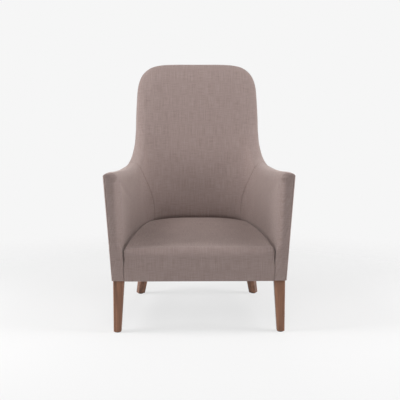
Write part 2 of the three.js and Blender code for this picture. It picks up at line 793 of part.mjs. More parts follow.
function buildSprings() {
  for (let i = 0; i < springCount; i++) {
    const x = (i - (springCount - 1) / 2) * springPitch;
    addNode("seat_spring_" + (i + 1), springSolid(x), "steel");
  }
  const clipZ = seatRailTop + clearance;
  const springReach = ((springCount - 1) / 2) * springPitch + springSwing;
  const frontEnd = railFrontFaceY - springLap - clearance;
  const front = boxSolid(
    new THREE.Vector3(-springReach, frontEnd - clipWidth, clipZ),
    new THREE.Vector3(springReach, frontEnd, clipZ + clipThickness),
  );
  addNode("spring_clip_strip_front", geometryOf(front), "steel");
  const rearDepth = frameInnerDepth - springLap - clearance;
  const rear = wallBlock(
    -rearClipStation, rearClipStation, clipZ, clipZ + clipThickness, rearDepth - clipWidth, rearDepth,
  );
  addNode("spring_clip_strip_rear", geometryOf(rear), "steel");
}

// Flat sheets under the seat: a plan with straight front corners, as thick as the sheet.
function sheetSolid(stations, depth, frontY, frontHalf, z, thickness) {
  const shape = new THREE.Shape();
  shape.moveTo(-frontHalf, frontY);
  shape.lineTo(frontHalf, frontY);
  const right = columns.filter((c) => Math.abs(c.station) < stations).map((c) => c.station);
  const along = [-stations, ...right, stations].reverse();
  const first = wallPoint(along[0], tubFootZ, depth);
  shape.lineTo(frontHalf, first.y);
  for (const station of along) {
    const p = wallPoint(station, tubFootZ, depth);
    shape.lineTo(p.x, p.y);
  }
  shape.lineTo(-frontHalf, first.y);
  const geometry = new THREE.ExtrudeGeometry(shape, { depth: thickness, bevelEnabled: false });
  geometry.translate(0, 0, z);
  return solidOf(geometry);
}

function buildSheets(legs) {
  const insulator = sheetSolid(
    sheetStation, frameInnerDepth + sheetMargin, railFrontFaceY - springLap, armInnerHalfFoot - sheetMargin,
    insulatorZ, insulatorThickness,
  );
  addNode("spring_insulator", geometryOf(insulator), "webbing");
  let dust = sheetSolid(
    sheetStation, coverThickness + 2 * clearance, sheetMargin, armInnerHalfFoot - sheetMargin,
    frameFootZ - clearance - dustThickness, dustThickness,
  );
  for (const leg of legs) dust = dust.subtract(leg);
  addNode("dust_cover", geometryOf(largestBody(dust)), "cambric");
}

// Covers and pads of the tub

function buildTub(postRooms, frontRailRoom, legRooms) {
  // Where the top line is steep, a gap beside it needs the height of a place nearer the middle.
  const besideTop = (station) => {
    const nearer = Math.sign(station) * Math.max(Math.abs(station) - (2 * clearance) / stationSpacing, 0);
    return Math.max(topAt(station), topAt(nearer)) + clearance;
  };
  const outside = wallBlock(
    -lastStation, lastStation, tubFootZ - clearance, besideTop,
    -overrun, coverThickness + 2 * clearance, rowCount,
  );
  const underSeat = wallBlock(
    -flapStation, flapStation, tubFootZ - overrun, innerFootZ, coverThickness,
    thickestFoot + underSeatMargin,
  );
  let inner = tubSolid(0, tubFootZ)
    .subtract(tubSolid(coverThickness, tubFootZ - clearance))
    .subtract(outside)
    .subtract(underSeat)
    .subtract(frontRailRoom);
  for (const room of legRooms) inner = inner.subtract(room);
  const covers = partedAtSeams(inner);
  addNode("inside_arm_cover_left", geometryOf(covers[0]), "fabric");
  addNode("inside_back_cover", geometryOf(covers[1]), "fabric");
  addNode("inside_arm_cover_right", geometryOf(covers[2]), "fabric");

  const frameSpace = wallBlock(
    -lastStation, lastStation, tubFootZ - overrun, (station) => frameTopAt(station) + rimGap,
    -overrun, padStartDepth, rowCount,
  );
  let padding = tubSolid(coverThickness + 2 * clearance, frameFootZ)
    .subtract(frameSpace)
    .subtract(underSeat)
    .subtract(frontRailRoom);
  for (const room of postRooms) padding = padding.subtract(room);
  const pads = partedAtSeams(padding);
  addNode("arm_pad_left", geometryOf(pads[0]), "foam");
  addNode("back_pad", geometryOf(pads[1]), "foam");
  addNode("arm_pad_right", geometryOf(pads[2]), "foam");

  const outsideCover = (from, to) => wallBlock(from, to, tubFootZ, topAt, 0, coverThickness, rowCount);
  const gapStation = stationPast(outsideSeamStation, clearance);
  addNode("outside_back_cover", geometryOf(outsideCover(-outsideSeamStation, outsideSeamStation)), "fabric");
  addNode("outside_arm_cover_left", geometryOf(outsideCover(-coverFrontStation, -gapStation)), "fabric");
  addNode("outside_arm_cover_right", geometryOf(outsideCover(gapStation, coverFrontStation)), "fabric");
}

// Corner blocks between the seat rails

function frontBlock(side) {
  const cornerX = wallPoint(flapStation, frameFootZ, frameInnerDepth).x - frontBlockGap;
  const cornerY = railFrontFaceY + clearance;
  const shape = new THREE.Shape();
  shape.moveTo(side * cornerX, cornerY);
  shape.lineTo(side * cornerX, cornerY + cornerBlockReach);
  shape.lineTo(side * (cornerX - cornerBlockEase), cornerY + cornerBlockReach);
  shape.lineTo(side * (cornerX - cornerBlockReach), cornerY + cornerBlockEase);
  shape.lineTo(side * (cornerX - cornerBlockReach), cornerY);
  const geometry = new THREE.ExtrudeGeometry(shape, { depth: cornerBlockHeight, bevelEnabled: false });
  geometry.translate(0, 0, frameFootZ);
  return solidOf(geometry);
}

function rearBlock(side) {
  const ends = rearBlockStations.map((station) => side * station).sort((a, b) => a - b);
  const near = frameOuterDepth + backPostThickness;
  const high = frameFootZ + cornerBlockHeight;
  return wallBlock(ends[0], ends[1], frameFootZ, high, near, near + frameThickness);
}

function buildBlocks(postRooms) {
  for (const [side, word] of [[-1, "left"], [1, "right"]]) {
    addNode("corner_block_front_" + word, geometryOf(frontBlock(side)), "beech");
    const rear = rearBlock(side).subtract(postRooms["back_post_" + word]);
    addNode("corner_block_rear_" + word, geometryOf(rear), "beech");
  }
}

// Webs up the back, from the stuff rail to the top rail

function buildWebs() {
  const near = frameInnerDepth + clearance;
  for (let i = 0; i < webCount; i++) {
    const middle = (i - (webCount - 1) / 2) * webPitchStations;
    const web = wallBlock(
      middle - webHalfStations, middle + webHalfStations, backStuffRailZ + webLap, topRailZ + webLap,
      near, near + webThickness, rowCount,
    );
    addNode("back_web_" + (i + 1), geometryOf(web), "webbing");
  }
}

// Room round the top of each leg, cut from the cloth that reaches it
function roomsForLegs() {
  return Object.values(legPlaces()).map(({ top, turn }) => loftSolid([
    ring(top, legTop + 2 * legRoomGap, legEdge, turn, tubFootZ - overrun),
    ring(top, legTop + 2 * legRoomGap, legEdge, turn, tubFootZ + overrun),
  ]));
}

// Everything together

const { rails, posts, rooms } = buildFrame();
const frontRailRoom = frontRail(clearance);
for (const name of Object.keys(posts)) posts[name] = posts[name].subtract(frontRailRoom);
buildLegs(posts);
for (const [name, post] of Object.entries(posts)) addNode(name, geometryOf(post), "beech");
for (const [name, rail] of Object.entries(rails)) addNode(name, geometryOf(rail), "beech");
addNode("seat_rail_front", geometryOf(frontRail(0)), "beech");
buildBlocks(rooms);
buildWebs();
buildSprings();
const legRooms = roomsForLegs();
buildTub(Object.values(rooms), frontRailRoom, legRooms);
buildSeat(tubSolid(-2 * clearance, tubFootZ - clearance), frontRailRoom);
buildSheets(legRooms);

chair.position.y = -(headDepth - frontEdgeRise) / 2;
export default chair;
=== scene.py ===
# %% [markdown]
# A fireside chair in taupe linen on four stained walnut legs.
# Its wooden frame, springs, legs and fixings are hard parts, and they come ready made from the CAD
# frame. Here they only get their finishes.
# The upholstery is modelled in this file, in metres, on the same curves as the frame. One padded wall
# runs round the back and both arms, so one description of that wall gives every soft piece its form.

import math
from functools import cache

import bmesh
import bpy
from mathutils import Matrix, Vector, kdtree, noise


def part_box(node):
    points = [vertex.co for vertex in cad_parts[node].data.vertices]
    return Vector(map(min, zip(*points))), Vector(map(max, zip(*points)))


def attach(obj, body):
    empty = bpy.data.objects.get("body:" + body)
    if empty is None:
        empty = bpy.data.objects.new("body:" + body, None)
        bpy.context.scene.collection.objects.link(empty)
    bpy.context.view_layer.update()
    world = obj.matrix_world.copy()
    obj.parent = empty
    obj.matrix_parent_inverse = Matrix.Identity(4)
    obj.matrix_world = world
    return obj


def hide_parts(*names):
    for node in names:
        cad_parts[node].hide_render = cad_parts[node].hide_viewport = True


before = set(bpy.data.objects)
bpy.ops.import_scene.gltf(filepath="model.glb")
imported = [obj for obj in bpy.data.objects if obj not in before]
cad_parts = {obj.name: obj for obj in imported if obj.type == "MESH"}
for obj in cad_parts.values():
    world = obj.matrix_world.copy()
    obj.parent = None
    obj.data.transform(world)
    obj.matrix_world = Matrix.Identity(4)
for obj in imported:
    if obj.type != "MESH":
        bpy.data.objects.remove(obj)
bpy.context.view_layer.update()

# %% [markdown]
# The tub is what makes this chair: its back and its arms are one wall, open at the front. On the real
# chair that wall is a beech frame with padding and linen over it.
# It could be sculpted, or raised from a few control points under a Subdivision Surface. Here it is
# described by curves, because the photograph and the CAD both give its outlines as numbers, and every
# layer of it can then be cut from the same form.
# The foot is where the linen ends over the legs, and the head is the top of the back.

# %% Sizes of the tub
MM = 0.001
FOOT_Z = 212 * MM
ARM_Z = 640 * MM
HEAD_Z = 1083 * MM
UNDER_SEAT_Z = 314 * MM
FOOT_HALF = 344 * MM
HEAD_HALF = 262 * MM
FOOT_DEPTH = 700 * MM
HEAD_DEPTH = 795 * MM
INSIDE_DEPTH = 525 * MM
ARM_WALL = 48 * MM
BACK_WALL = 80 * MM
INNER_HALF = FOOT_HALF - ARM_WALL
ARM_RISE = 17 * MM
BACK_RISE = 34 * MM
FRONT_RISE = 9 * MM
PAD_DEPTH = 36.6 * MM
COVER = 2.4 * MM
SHIFT = Vector((0, -(HEAD_DEPTH - FRONT_RISE) / 2, 0))
print("the tub is", round(HEAD_Z - FOOT_Z, 3), "m high")

# %% [markdown]
# A plan is the wall seen from above, and there are four: outside and inside, at the foot and at the
# head. Each pair is a share of the half width and of the depth, from the middle of the back to an arm.
# A station is a place round the wall. 0 is the middle of the back and 6 is the front of the right arm,
# and the left arm has the same stations with a minus.
# The top line gives how high the wall stands at a station, and the seam line gives where the inside
# back is sewn to an arm. Both were read off the photograph, which shows them well.

# %% Outlines of the tub
LAST = 6
OUTSIDE_SEAM = 2.8
SPACING = 140 * MM

FOOT_OUTER = [(0, 1), (0.31, 0.994), (0.59, 0.963), (0.803, 0.86), (0.913, 0.63), (0.971, 0.33), (1, 0)]
FOOT_INNER = [(0, 1), (0.25, 0.99), (0.466, 0.94), (0.655, 0.81), (0.825, 0.575), (0.93, 0.325), (1, 0)]
HEAD_OUTER = [(0, 1), (0.36, 0.998), (0.7, 0.99), (1, 0.972), (1.26, 0.76), (1.46, 0.4), (1.55, 0)]
HEAD_INNER = [(0, 1), (0.36, 0.999), (0.7, 0.995), (1, 0.985), (1.06, 0.8), (1.13, 0.44), (1.27, 0)]
TOP_LINE = [  # station, and share of the way from the arm's height to the head's
    (0, 1), (1.1, 1), (1.8, 0.992), (2.25, 0.968), (2.58, 0.91), (2.76, 0.82), (2.84, 0.7),
    (2.92, 0.52), (3.04, 0.33), (3.22, 0.18), (3.5, 0.06), (3.9, -0.01), (4.5, -0.035),
    (5.2, -0.03), (6, 0),
]
SEAM_LINE = [  # share of the way from the foot to the arm's height, and share of the stations
    (-0.1, 0.457), (0.39, 0.456), (0.47, 0.455), (0.6, 0.464), (0.715, 0.497),
    (0.836, 0.552), (0.924, 0.61), (1.05, 0.7), (1.12, 0.75),
]
print(len(TOP_LINE), "points on the top line")


# %% [markdown]
# Small helpers for curves. The curve through the points could be a Blender curve object, but a function
# can be asked for any place on it. It is a centripetal Catmull-Rom curve, which passes through all its
# points without loops, as the CAD's curves do.

# %% Curves
def lerp(a, b, share):
    return a + (b - a) * share


def clamp(value):
    return min(max(value, 0), 1)


def smooth(low, high, value):
    """Eases from 0 at low to 1 at high."""
    share = clamp((value - low) / (high - low))
    return share * share * (3 - 2 * share)


def shares(count):
    """Even shares from 0 to 1, a number of steps apart."""
    return [i / count for i in range(count + 1)]


def quarter(near):
    """How far a quarter circle falls away, from 0 at its flat end to 1 at its steep end."""
    return 1 - math.sqrt(max(1 - near * near, 0))


def catmull(points, share):
    place = clamp(share) * (len(points) - 1)
    i = min(int(place), len(points) - 2)
    w = place - i
    b, c = points[i], points[i + 1]
    a = points[i - 1] if i else b * 2 - c
    d = points[i + 2] if i + 2 < len(points) else c * 2 - b
    ab, bc, cd = ((q - p).length ** 0.5 for p, q in ((a, b), (b, c), (c, d)))
    start = ((b - a) / ab - (c - a) / (ab + bc) + (c - b) / bc) * bc
    end = ((c - b) / bc - (d - b) / (bc + cd) + (d - c) / cd) * bc
    bend = c * 3 - b * 3 - start * 2 - end
    return b + start * w + bend * w**2 + (b * 2 - c * 2 + start + end) * w**3


print("a quarter of the way, smooth gives", smooth(0, 1, 0.25))


# %% [markdown]
# The wall itself: at any station and height it gives a point on the outside, a point on the inside, and
# the way inwards between them. The plan changes evenly from the foot to the head, which is what flares
# the arms and narrows the back.

# %% Wall
def mirrored(pairs, half, depth):
    right = [Vector((a * half, b * depth, 0)) for a, b in pairs]
    return [Vector((-p.x, p.y, 0)) for p in right[:0:-1]] + right


PLANS = [
    mirrored(FOOT_OUTER, FOOT_HALF, FOOT_DEPTH),
    mirrored(FOOT_INNER, INNER_HALF, INSIDE_DEPTH),
    mirrored(HEAD_OUTER, HEAD_HALF, HEAD_DEPTH),
    mirrored(HEAD_INNER, HEAD_HALF, HEAD_DEPTH - BACK_WALL),
]


@cache
def plan_points(station):
    """The four plans' points at a station, and the ways inwards at the foot and at the head."""
    share = (station + LAST) / (2 * LAST)
    low_out, low_in, high_out, high_in = (catmull(plan, share) + SHIFT for plan in PLANS)
    low_way, high_way = (low_in - low_out).normalized(), (high_in - high_out).normalized()
    return low_out, low_in, high_out, high_in, low_way, high_way


def wall(station, z):
    """The outside point, the inside point and the way inwards."""
    low_out, low_in, high_out, high_in, low_way, high_way = plan_points(station)
    share = (z - FOOT_Z) / (HEAD_Z - FOOT_Z)
    up = Vector((0, 0, z))
    outer, inner = low_out.lerp(high_out, share) + up, low_in.lerp(high_in, share) + up
    return outer, inner, low_way.lerp(high_way, share)


def wall_point(station, z, depth):
    outer, _, inward = wall(station, z)
    return outer + inward * depth


print("the front of the right arm at its top:", wall(LAST, ARM_Z)[0])

# %% [markdown]
# A column is one upright line of the wall. Columns are counted by t, from -1 at the left arm's front to
# 1 at the right arm's, and lie evenly along the top line. So they crowd together where the top sweeps
# up from an arm to the back, and the mesh is fine just where the form bends most.

# %% Columns
tops = []
for place, share in TOP_LINE:
    rise = lerp(ARM_RISE, BACK_RISE, smooth(0, 0.5, share))
    tops.append(Vector((place * SPACING, lerp(ARM_Z, HEAD_Z, share) - rise, rise)))


def column(t):
    """A column's station, the height of its flat faces, and the rise of the rounded edge over them."""
    p = catmull(tops, abs(t))
    return math.copysign(min(p.x / SPACING, LAST), t), p.y, p.z


def t_at(station):
    """The column at a station, found by halving the space."""
    low, high = 0.0, 1.0
    for _ in range(30):
        middle = (low + high) / 2
        if column(middle)[0] < abs(station):
            low = middle
        else:
            high = middle
    return math.copysign(low, station)


def edge_way(t):
    """The way that the rounded edge faces: square to the top line and to the wall's thickness."""
    reach = 0.03
    ends = []
    for side in (-reach, reach):
        station, top, _ = column(min(max(t + side, -1), 1))
        ends.append(wall(station, top)[0])
    station, top, _ = column(t)
    outer, inner, _ = wall(station, top)
    return (inner - outer).cross(ends[1] - ends[0]).normalized()


print("the outside seam stands at t =", round(t_at(OUTSIDE_SEAM), 3))

# %% [markdown]
# Cloth has a size of its own, so the weave has to be laid out in metres along the surface, whatever its
# form. For that the script measures how far round the wall each station lies, and uses it as the UV.
# Unwrapping in the editor would do as well, but these UVs keep the threads upright and even.

# %% Lengths round the wall
LENGTH_STEPS = 100


def lengths(plan):
    """How far round the wall each hundredth of a station lies, on one plan."""
    last = catmull(plan, 0.5)
    way = [0.0]
    for i in range(1, LAST * LENGTH_STEPS + 1):
        p = catmull(plan, 0.5 + i / (2 * LAST * LENGTH_STEPS))
        way.append(way[-1] + (p - last).length)
        last = p
    return way


LOW_LENGTHS, HIGH_LENGTHS = lengths(PLANS[1]), lengths(PLANS[3])


def along(station, z):
    """How far round the inside face a place lies."""
    place = min(abs(station), LAST) * LENGTH_STEPS
    i = min(int(place), LAST * LENGTH_STEPS - 1)
    low, high = (lerp(way[i], way[i + 1], place - i) for way in (LOW_LENGTHS, HIGH_LENGTHS))
    return math.copysign(lerp(low, high, (z - FOOT_Z) / (HEAD_Z - FOOT_Z)), station)


print("half the inside face is", round(LOW_LENGTHS[-1], 3), "m long at the foot")

# %% [markdown]
# One mesh maker serves all the soft pieces. It starts from bmesh's flat grid and carries each vertex to
# its place, the way a tailor takes flat cloth round a form. For a padded piece the grid's long sides
# meet, which makes a tube, and its two ends are filled.
# An end is filled like a ladder, with a face from each step of one side to the same step of the other.
# One big face over a curved outline would shade in dark wedges.

# %% Mesh maker
def ladder(count, foot):
    """The faces that fill a closed outline, as a ladder up from its foot."""
    rungs = [(foot - step, foot + 1 + step) for step in range(count // 2)]
    fill = [(low, high, high + 1, low - 1) for low, high in rungs[:-1]]
    if count % 2:
        low, high = rungs[-1]
        fill.append((low, high, high + 1))
    return [[i % count for i in face] for face in fill]


def new_object(name, data):
    """A new object that holds the data, linked into the scene."""
    piece = bpy.data.objects.new(name, data)
    bpy.context.collection.objects.link(piece)
    return piece


def mesh_object(name, mesh):
    data = bpy.data.meshes.new(name)
    mesh.to_mesh(data)
    mesh.free()
    print(name, len(data.polygons), "faces")
    return new_object(name, data)


def grid_mesh(name, lines, foot=None):
    """A grid carried to lines of points and UVs. With a foot, it is a tube with filled ends."""
    count = len(lines[0][0])
    wide, high = count - 1 if foot is None else count, len(lines) - 1
    mesh = bmesh.new()
    layer = mesh.loops.layers.uv.new("cloth")
    bmesh.ops.create_grid(mesh, x_segments=wide, y_segments=high, size=0.5)
    verts = {(round((v.co.y + 0.5) * high), round((v.co.x + 0.5) * wide)): v for v in mesh.verts}
    places = {vert: place for place, vert in verts.items()}
    for (i, j), vert in verts.items():
        vert.co = lines[i][0][j % count]
    for face in mesh.faces:
        face.smooth = True
    if foot is not None:
        for i in (0, high):
            for corners in ladder(count, foot):
                mesh.faces.new([verts[i, k] for k in corners])
    for face in mesh.faces:
        for loop in face.loops:
            i, j = places[loop.vert]
            loop[layer].uv = lines[i][1][j % count]
    bmesh.ops.remove_doubles(mesh, verts=mesh.verts, dist=0.001 * MM)
    bmesh.ops.recalc_face_normals(mesh, faces=mesh.faces)
    return mesh_object(name, mesh)


def thicken(piece, thickness, offset=0):
    """Gives a sheet its thickness with a Solidify modifier, to both sides unless told otherwise."""
    solid = piece.modifiers.new("thickness", "SOLIDIFY")
    solid.thickness = thickness
    solid.offset = offset


def set_material(piece, material):
    piece.data.materials.clear()
    piece.data.materials.append(material)


# %% [markdown]
# The seam between the inside back and an inside arm shows well in the photograph. It leans outwards as
# it rises, and ends at the rounded edge.
# A seam can be cut into a mesh afterwards, but a cut across the grid leaves ragged shading. So the two
# covers are two pieces that meet there, and their columns are drawn towards the seam, so that the cloth
# of both follows it.

# %% Seam line
SEAM_STEPS = 400
SEAM_SEARCH = 0.0005
SEAM_TAIL = 20  # steps at its upper end, whose slope it keeps above
seam_points = [
    Vector((share * LAST * SPACING, lerp(FOOT_Z, ARM_Z, height), 0)) for height, share in SEAM_LINE
]
seam_row = [catmull(seam_points, share) for share in shares(SEAM_STEPS)]
seam_pairs = [*zip(seam_row, seam_row[1:]), (seam_row[-SEAM_TAIL], seam_row[-1])]


@cache
def seam_at(z):
    """The seam's station at a height. Above its last point it goes straight on."""
    low, high = next((pair for pair in seam_pairs if pair[1].y >= z), seam_pairs[-1])
    return lerp(low.x, high.x, (z - low.y) / (high.y - low.y)) / SPACING


seam_t = t_at(5)
while column(seam_t)[0] > seam_at(column(seam_t)[1]):
    seam_t -= SEAM_SEARCH
seam_end, seam_top, _ = column(seam_t)
print("the seam meets the edge at station", round(seam_end, 2), "height", round(seam_top, 3))


def seam_beside(share):
    """The seam's station at a share of the height of the columns beside it."""
    return seam_at(round(lerp(UNDER_SEAT_Z, seam_top, share), 4))


def drawn_station(station, share):
    """A column's station at a share of its height, drawn towards the seam."""
    place = abs(station)
    weight = (LAST - place) / (LAST - seam_end) if place > seam_end else (place / seam_end) ** 2
    return math.copysign(place + (seam_beside(share) - seam_end) * weight, station)


# %% [markdown]
# The seat of a sprung chair is not flat. Its top rises from the soft front edge towards the back, where
# the stuffing is packed higher, and falls a little to the arms.
# The wall needs this height too, because its padding turns in where the seat meets it. That is why it
# is a function of its own, which both pieces ask.

# %% Height of the seat
SEAT_CREST = 341 * MM
SEAT_REAR = 381 * MM
SEAT_RADIUS = 34 * MM
SEAT_DEPTH = 565 * MM
SIDE_DROP = 8 * MM


def seat_height(x, y):
    back = clamp((y - SHIFT.y - SEAT_RADIUS) / (SEAT_DEPTH - SEAT_RADIUS))
    across = min(abs(x) / INNER_HALF, 1)
    crown = lerp(SEAT_CREST, SEAT_REAR, math.sin(back * math.pi / 2))
    return crown - SIDE_DROP * across**3 * back


print("the seat is", round(seat_height(0, 0), 3), "m high in its middle")

# %% [markdown]
# The inside back and the inside arms are the padding that a sitter leans on. Each is one closed body: it
# starts at the outside seam, goes over the rounded edge and down to the seat, and is hollow where the
# wooden frame stands.
# Cloth simulation is the usual way to a padded form. Here the linen is stretched tight over firm
# padding, with no wrinkle to find, so the form is drawn by curves instead: the roll of the edge, the
# soft front of the arms, the turn towards the seat, and the dips along the seams.
# The first helpers say how the rows lie and how far down the body reaches.

# %% Rows of the padding
EDGE_STEPS = 22
FACE_ROWS = 80
DENSE_ROWS = 0.3
DENSE_HEIGHT = 0.16
FILLED_FROM = 5.976
FOOT_RAMP = (5.86, 5.94)
RAMP_END_Z = 219 * MM


def row_share(row):
    """A row's share of the wall's height. Rows lie closer together by the seat."""
    part = row / FACE_ROWS
    if part < DENSE_ROWS:
        return part / DENSE_ROWS * DENSE_HEIGHT
    return lerp(DENSE_HEIGHT, 1, (part - DENSE_ROWS) / (1 - DENSE_ROWS))


def foot_at(station):
    """How low the padding reaches: under the seat, and down to the legs at the front of an arm."""
    place = abs(station)
    if place > (FILLED_FROM + LAST) / 2:
        return FOOT_Z
    return lerp(UNDER_SEAT_Z, RAMP_END_Z, smooth(*FOOT_RAMP, place))


print(round(DENSE_ROWS * FACE_ROWS), "rows lie by the seat")

# %% [markdown]
# Sewing pulls the cloth down at a seam, and it rises from there in a round shoulder. The back's padding
# is deep, so its seam lies deeper than the arm's.
# Hand stuffed padding is also never quite even. Two layers of noise move the surface by a millimetre or
# two, in broad and in fine waves. A Displace modifier could do it, but here the same noise can be
# faded out at the seams and the edges.

# %% Seams and unevenness
BACK_SEAM = (5 * MM, 11 * MM)
ARM_SEAM = (1.3 * MM, 4 * MM)
BROAD_WAVE = 85 * MM
FINE_WAVE = 34 * MM
WALL_LUMPS = (2.2 * MM, 0.8 * MM)
SEAT_LUMPS = (2.0 * MM, 0.8 * MM)


def dip_at(distance, seam):
    """How far a seam, which is a depth and a reach, draws the cloth in at a distance."""
    depth, reach = seam
    return depth * quarter(clamp(1 - distance / reach))


def lumps(place, sizes):
    """The slight unevenness of the padding at a place."""
    broad, fine = sizes
    return broad * noise.noise(place / BROAD_WAVE) + fine * noise.noise(place / FINE_WAVE)


print("lump at the middle of the back:", round(lumps(wall(0, 0.7)[1], WALL_LUMPS), 5), "m")

# %% [markdown]
# Where the seat meets the wall, a sitter sees a dark line. On the real chair the covers are pulled
# through there to the rails, so the padding turns away towards a tight crease.
# A painted line would look flat from the side, so the crease is modelled: a wide turn of the lower back,
# which is thick, a small one of the arms, which are thin, and a sharp one over both.

# %% Crease along the seat
BACK_TUCK = (24 * MM, 100 * MM)
ARM_TUCK = (3 * MM, 70 * MM)
CREASE = (7.5 * MM, 14 * MM)
CREASE_DROP = 5 * MM
BELOW_REACH = 45 * MM
TUCK_ENDS = (-385 * MM, -340 * MM)
ARM_BEGINS = (2.3, 3.6)


def tuck_at(station, face):
    """How far the wall's padding turns away towards the crease along the seat."""
    arm = smooth(*ARM_BEGINS, abs(station))
    wide = [lerp(back, side, arm) for back, side in zip(BACK_TUCK, ARM_TUCK)]
    rise = face.z - seat_height(face.x, face.y) + CREASE_DROP
    tuck = 0
    for depth, reach in (wide, CREASE):
        near = clamp(1 - rise / reach) if rise > 0 else clamp(1 + rise / BELOW_REACH)
        tuck += depth * quarter(near)
    return tuck * smooth(*TUCK_ENDS, face.y)


print("the lower back turns away by", round(tuck_at(0, wall(0, 0.38)[1]), 4), "m")

# %% [markdown]
# The inside face of the wall. It rolls away towards three sides: up to the rounded edge, down to the
# seat and, on an arm, round to its soft front.
# To know how near a place is to the rounded edge, the script keeps the whole edge as points and looks up
# the nearest one in a k-d tree, which is quick even for many thousands of places.

# %% Inside face
RIM_STEPS = 1500
ARM_ROLL = 18 * MM
BACK_ROLL = 50 * MM
FRONT_REACH = 45 * MM
SOFT_FROM = (295 * MM, 360 * MM)
EDGE_FADE = 30 * MM
EDGE_SOFTNESS = 0.5
FOLD_FROM = 4.5
FOLD_DEPTH = 3 * MM
FOLD_WIDTH = 42 * MM
FOLD_SLOPE = 2.4
FOLD_START = 8 * MM
FOLD_TOP = (0, 25 * MM)
FOLD_END = (110 * MM, 60 * MM)
CALM_RISE = 60 * MM
CALM_GAP = 45 * MM

rim = []
for i in range(-RIM_STEPS, RIM_STEPS + 1):
    station, top, rise = column(i / RIM_STEPS)
    rim.append((along(station, top), top, rise))
rim_tree = kdtree.KDTree(len(rim))
for i, (u, top, _) in enumerate(rim):
    rim_tree.insert((u, top, 0), i)
rim_tree.balance()
print(len(rim), "points on the rounded edge")


def edge_reach(rise):
    """How far down the inside face the roll of the edge begins."""
    return lerp(ARM_ROLL, BACK_ROLL, (rise - ARM_RISE) / (BACK_RISE - ARM_RISE))


def front_share(place, gap):
    """How far round the soft front of an arm a place lies."""
    near = max(0, FRONT_REACH - (place.y - SHIFT.y)) / (FRONT_REACH + FRONT_RISE)
    return near * smooth(*SOFT_FROM, place.z) * lerp(EDGE_SOFTNESS, 1, smooth(0, EDGE_FADE, gap))


def fold_at(station, place, down):
    """The soft fold that runs down and back from the tip of an arm."""
    if abs(station) < FOLD_FROM:
        return 0
    off = place.y - SHIFT.y - FOLD_SLOPE * (down - FOLD_START)
    ends = smooth(*FOLD_TOP, down) * smooth(*FOLD_END, down)
    return FOLD_DEPTH * math.exp(-((off / FOLD_WIDTH) ** 2)) * ends


def inside_face(station, z):
    """A place of the inside face, rolled away towards the rim, the seat and the arm's front."""
    outer, face, inward = wall(station, z)
    face = face - inward * tuck_at(station, face)
    _, i, gap = rim_tree.find((along(station, z), z, 0))
    _, rim_z, rise = rim[i]
    reach = edge_reach(rise)
    up = max(0, reach - gap) / (reach + rise)
    front = front_share(face, gap)
    half = (outer - face).length / 2
    calm = smooth(0, CALM_RISE, rise) * smooth(0, CALM_GAP, gap)
    sunk = fold_at(station, face, rim_z - z) + calm * lumps(face, WALL_LUMPS)
    return face - inward * (sunk + half * (1 - math.sqrt(1 - up * up - front * front))), inward


print("the middle of the back:", inside_face(0, 0.7)[0])

# %% [markdown]
# The crown is the rounded edge on top of the wall, from the outside over to the inside. Its outer half
# is a plain half round, and its inner half runs on smoothly into the inside face, as padding does that
# is pulled over a rail.
# A Bevel modifier gives one width everywhere. Here the edge has to grow from the thin arms to the thick
# back, so each column gets its own arc.

# %% Rounded edge
def crown(t):
    """The points of the rounded edge, their UVs and the way it faces."""
    station, top, rise = column(t)
    outer, inner, _ = wall(station, top)
    middle, half = (outer + inner) / 2, (outer - inner) / 2
    way = Vector((0, 0, 1)) if abs(t) == 1 else edge_way(t)
    reach = edge_reach(rise)
    front = front_share(inner, 0)
    inner_share = math.sqrt(1 - (reach / (reach + rise)) ** 2 - front * front)
    height = (reach + rise) * math.sqrt(1 - front * front) - reach
    points = [outer]
    for step in range(1, EDGE_STEPS + 1):
        angle = math.pi * step / EDGE_STEPS
        if step < EDGE_STEPS / 2:
            across = math.cos(angle)
            lift = height * math.sin(angle)
        else:
            across = inner_share * math.cos(angle)
            lift = (reach + rise) * math.sqrt(max(0, 1 - across * across - front * front)) - reach
        points.append(middle + half * across + way * lift)
    u, v = along(station, top), top
    sideways = math.copysign(math.sqrt(max(0, 1 - way.z * way.z)), station)
    uvs = [(u, v)]
    for p, q in zip(points[:0:-1], points[-2::-1]):
        step = (q - p).length
        u += step * sideways
        v += step * abs(way.z)
        uvs.append((u, v))
    uvs.reverse()
    return points[:-1], uvs[:-1], way


# %% [markdown]
# One closed outline through the padding: over the crown, down the inside face, and back up the hollow
# where the frame stands. Side by side, these outlines are the padded body.

# %% Outline of the padding
EDGE_DIP = 0.5
FRAME_DROP = 5 * MM
LIP_DEPTH = 3.2 * MM
LIP_SHARE = 0.3


def wall_loop(t, filled=False):
    """The closed outline of a padded piece at one column, with its UVs."""
    station, top, _ = column(t)
    seam = BACK_SEAM if abs(station) < seam_end else ARM_SEAM
    points, uvs, way = crown(t)
    edge_gap = abs(abs(along(station, top)) - along(seam_end, top))
    for i in range(EDGE_STEPS // 4, EDGE_STEPS):
        points[i] = points[i] - way * dip_at(edge_gap, seam) * EDGE_DIP
    foot = foot_at(station)
    for row in range(FACE_ROWS, -1, -1):
        share = row_share(row)
        here, z = drawn_station(station, share), lerp(foot, top, share)
        face, inward = inside_face(here, z)
        u = along(here, z)
        gap = abs(abs(u) - along(seam_beside(share), z))
        points.append(face - inward * dip_at(gap, seam))
        uvs.append((u, z))
    u, frame_top = along(station, top), top - FRAME_DROP
    for row in range(FACE_ROWS + 1):
        share = row_share(row)
        z = lerp(foot, frame_top, share)
        points.append(wall_point(drawn_station(station, share), z, 0 if filled else PAD_DEPTH))
        uvs.append((u, -z))
    points.append(wall_point(station, lerp(frame_top, top, LIP_SHARE), 0 if filled else LIP_DEPTH))
    uvs.append((u, -frame_top))
    return points, uvs


print("an outline has", len(wall_loop(0)[0]), "points")

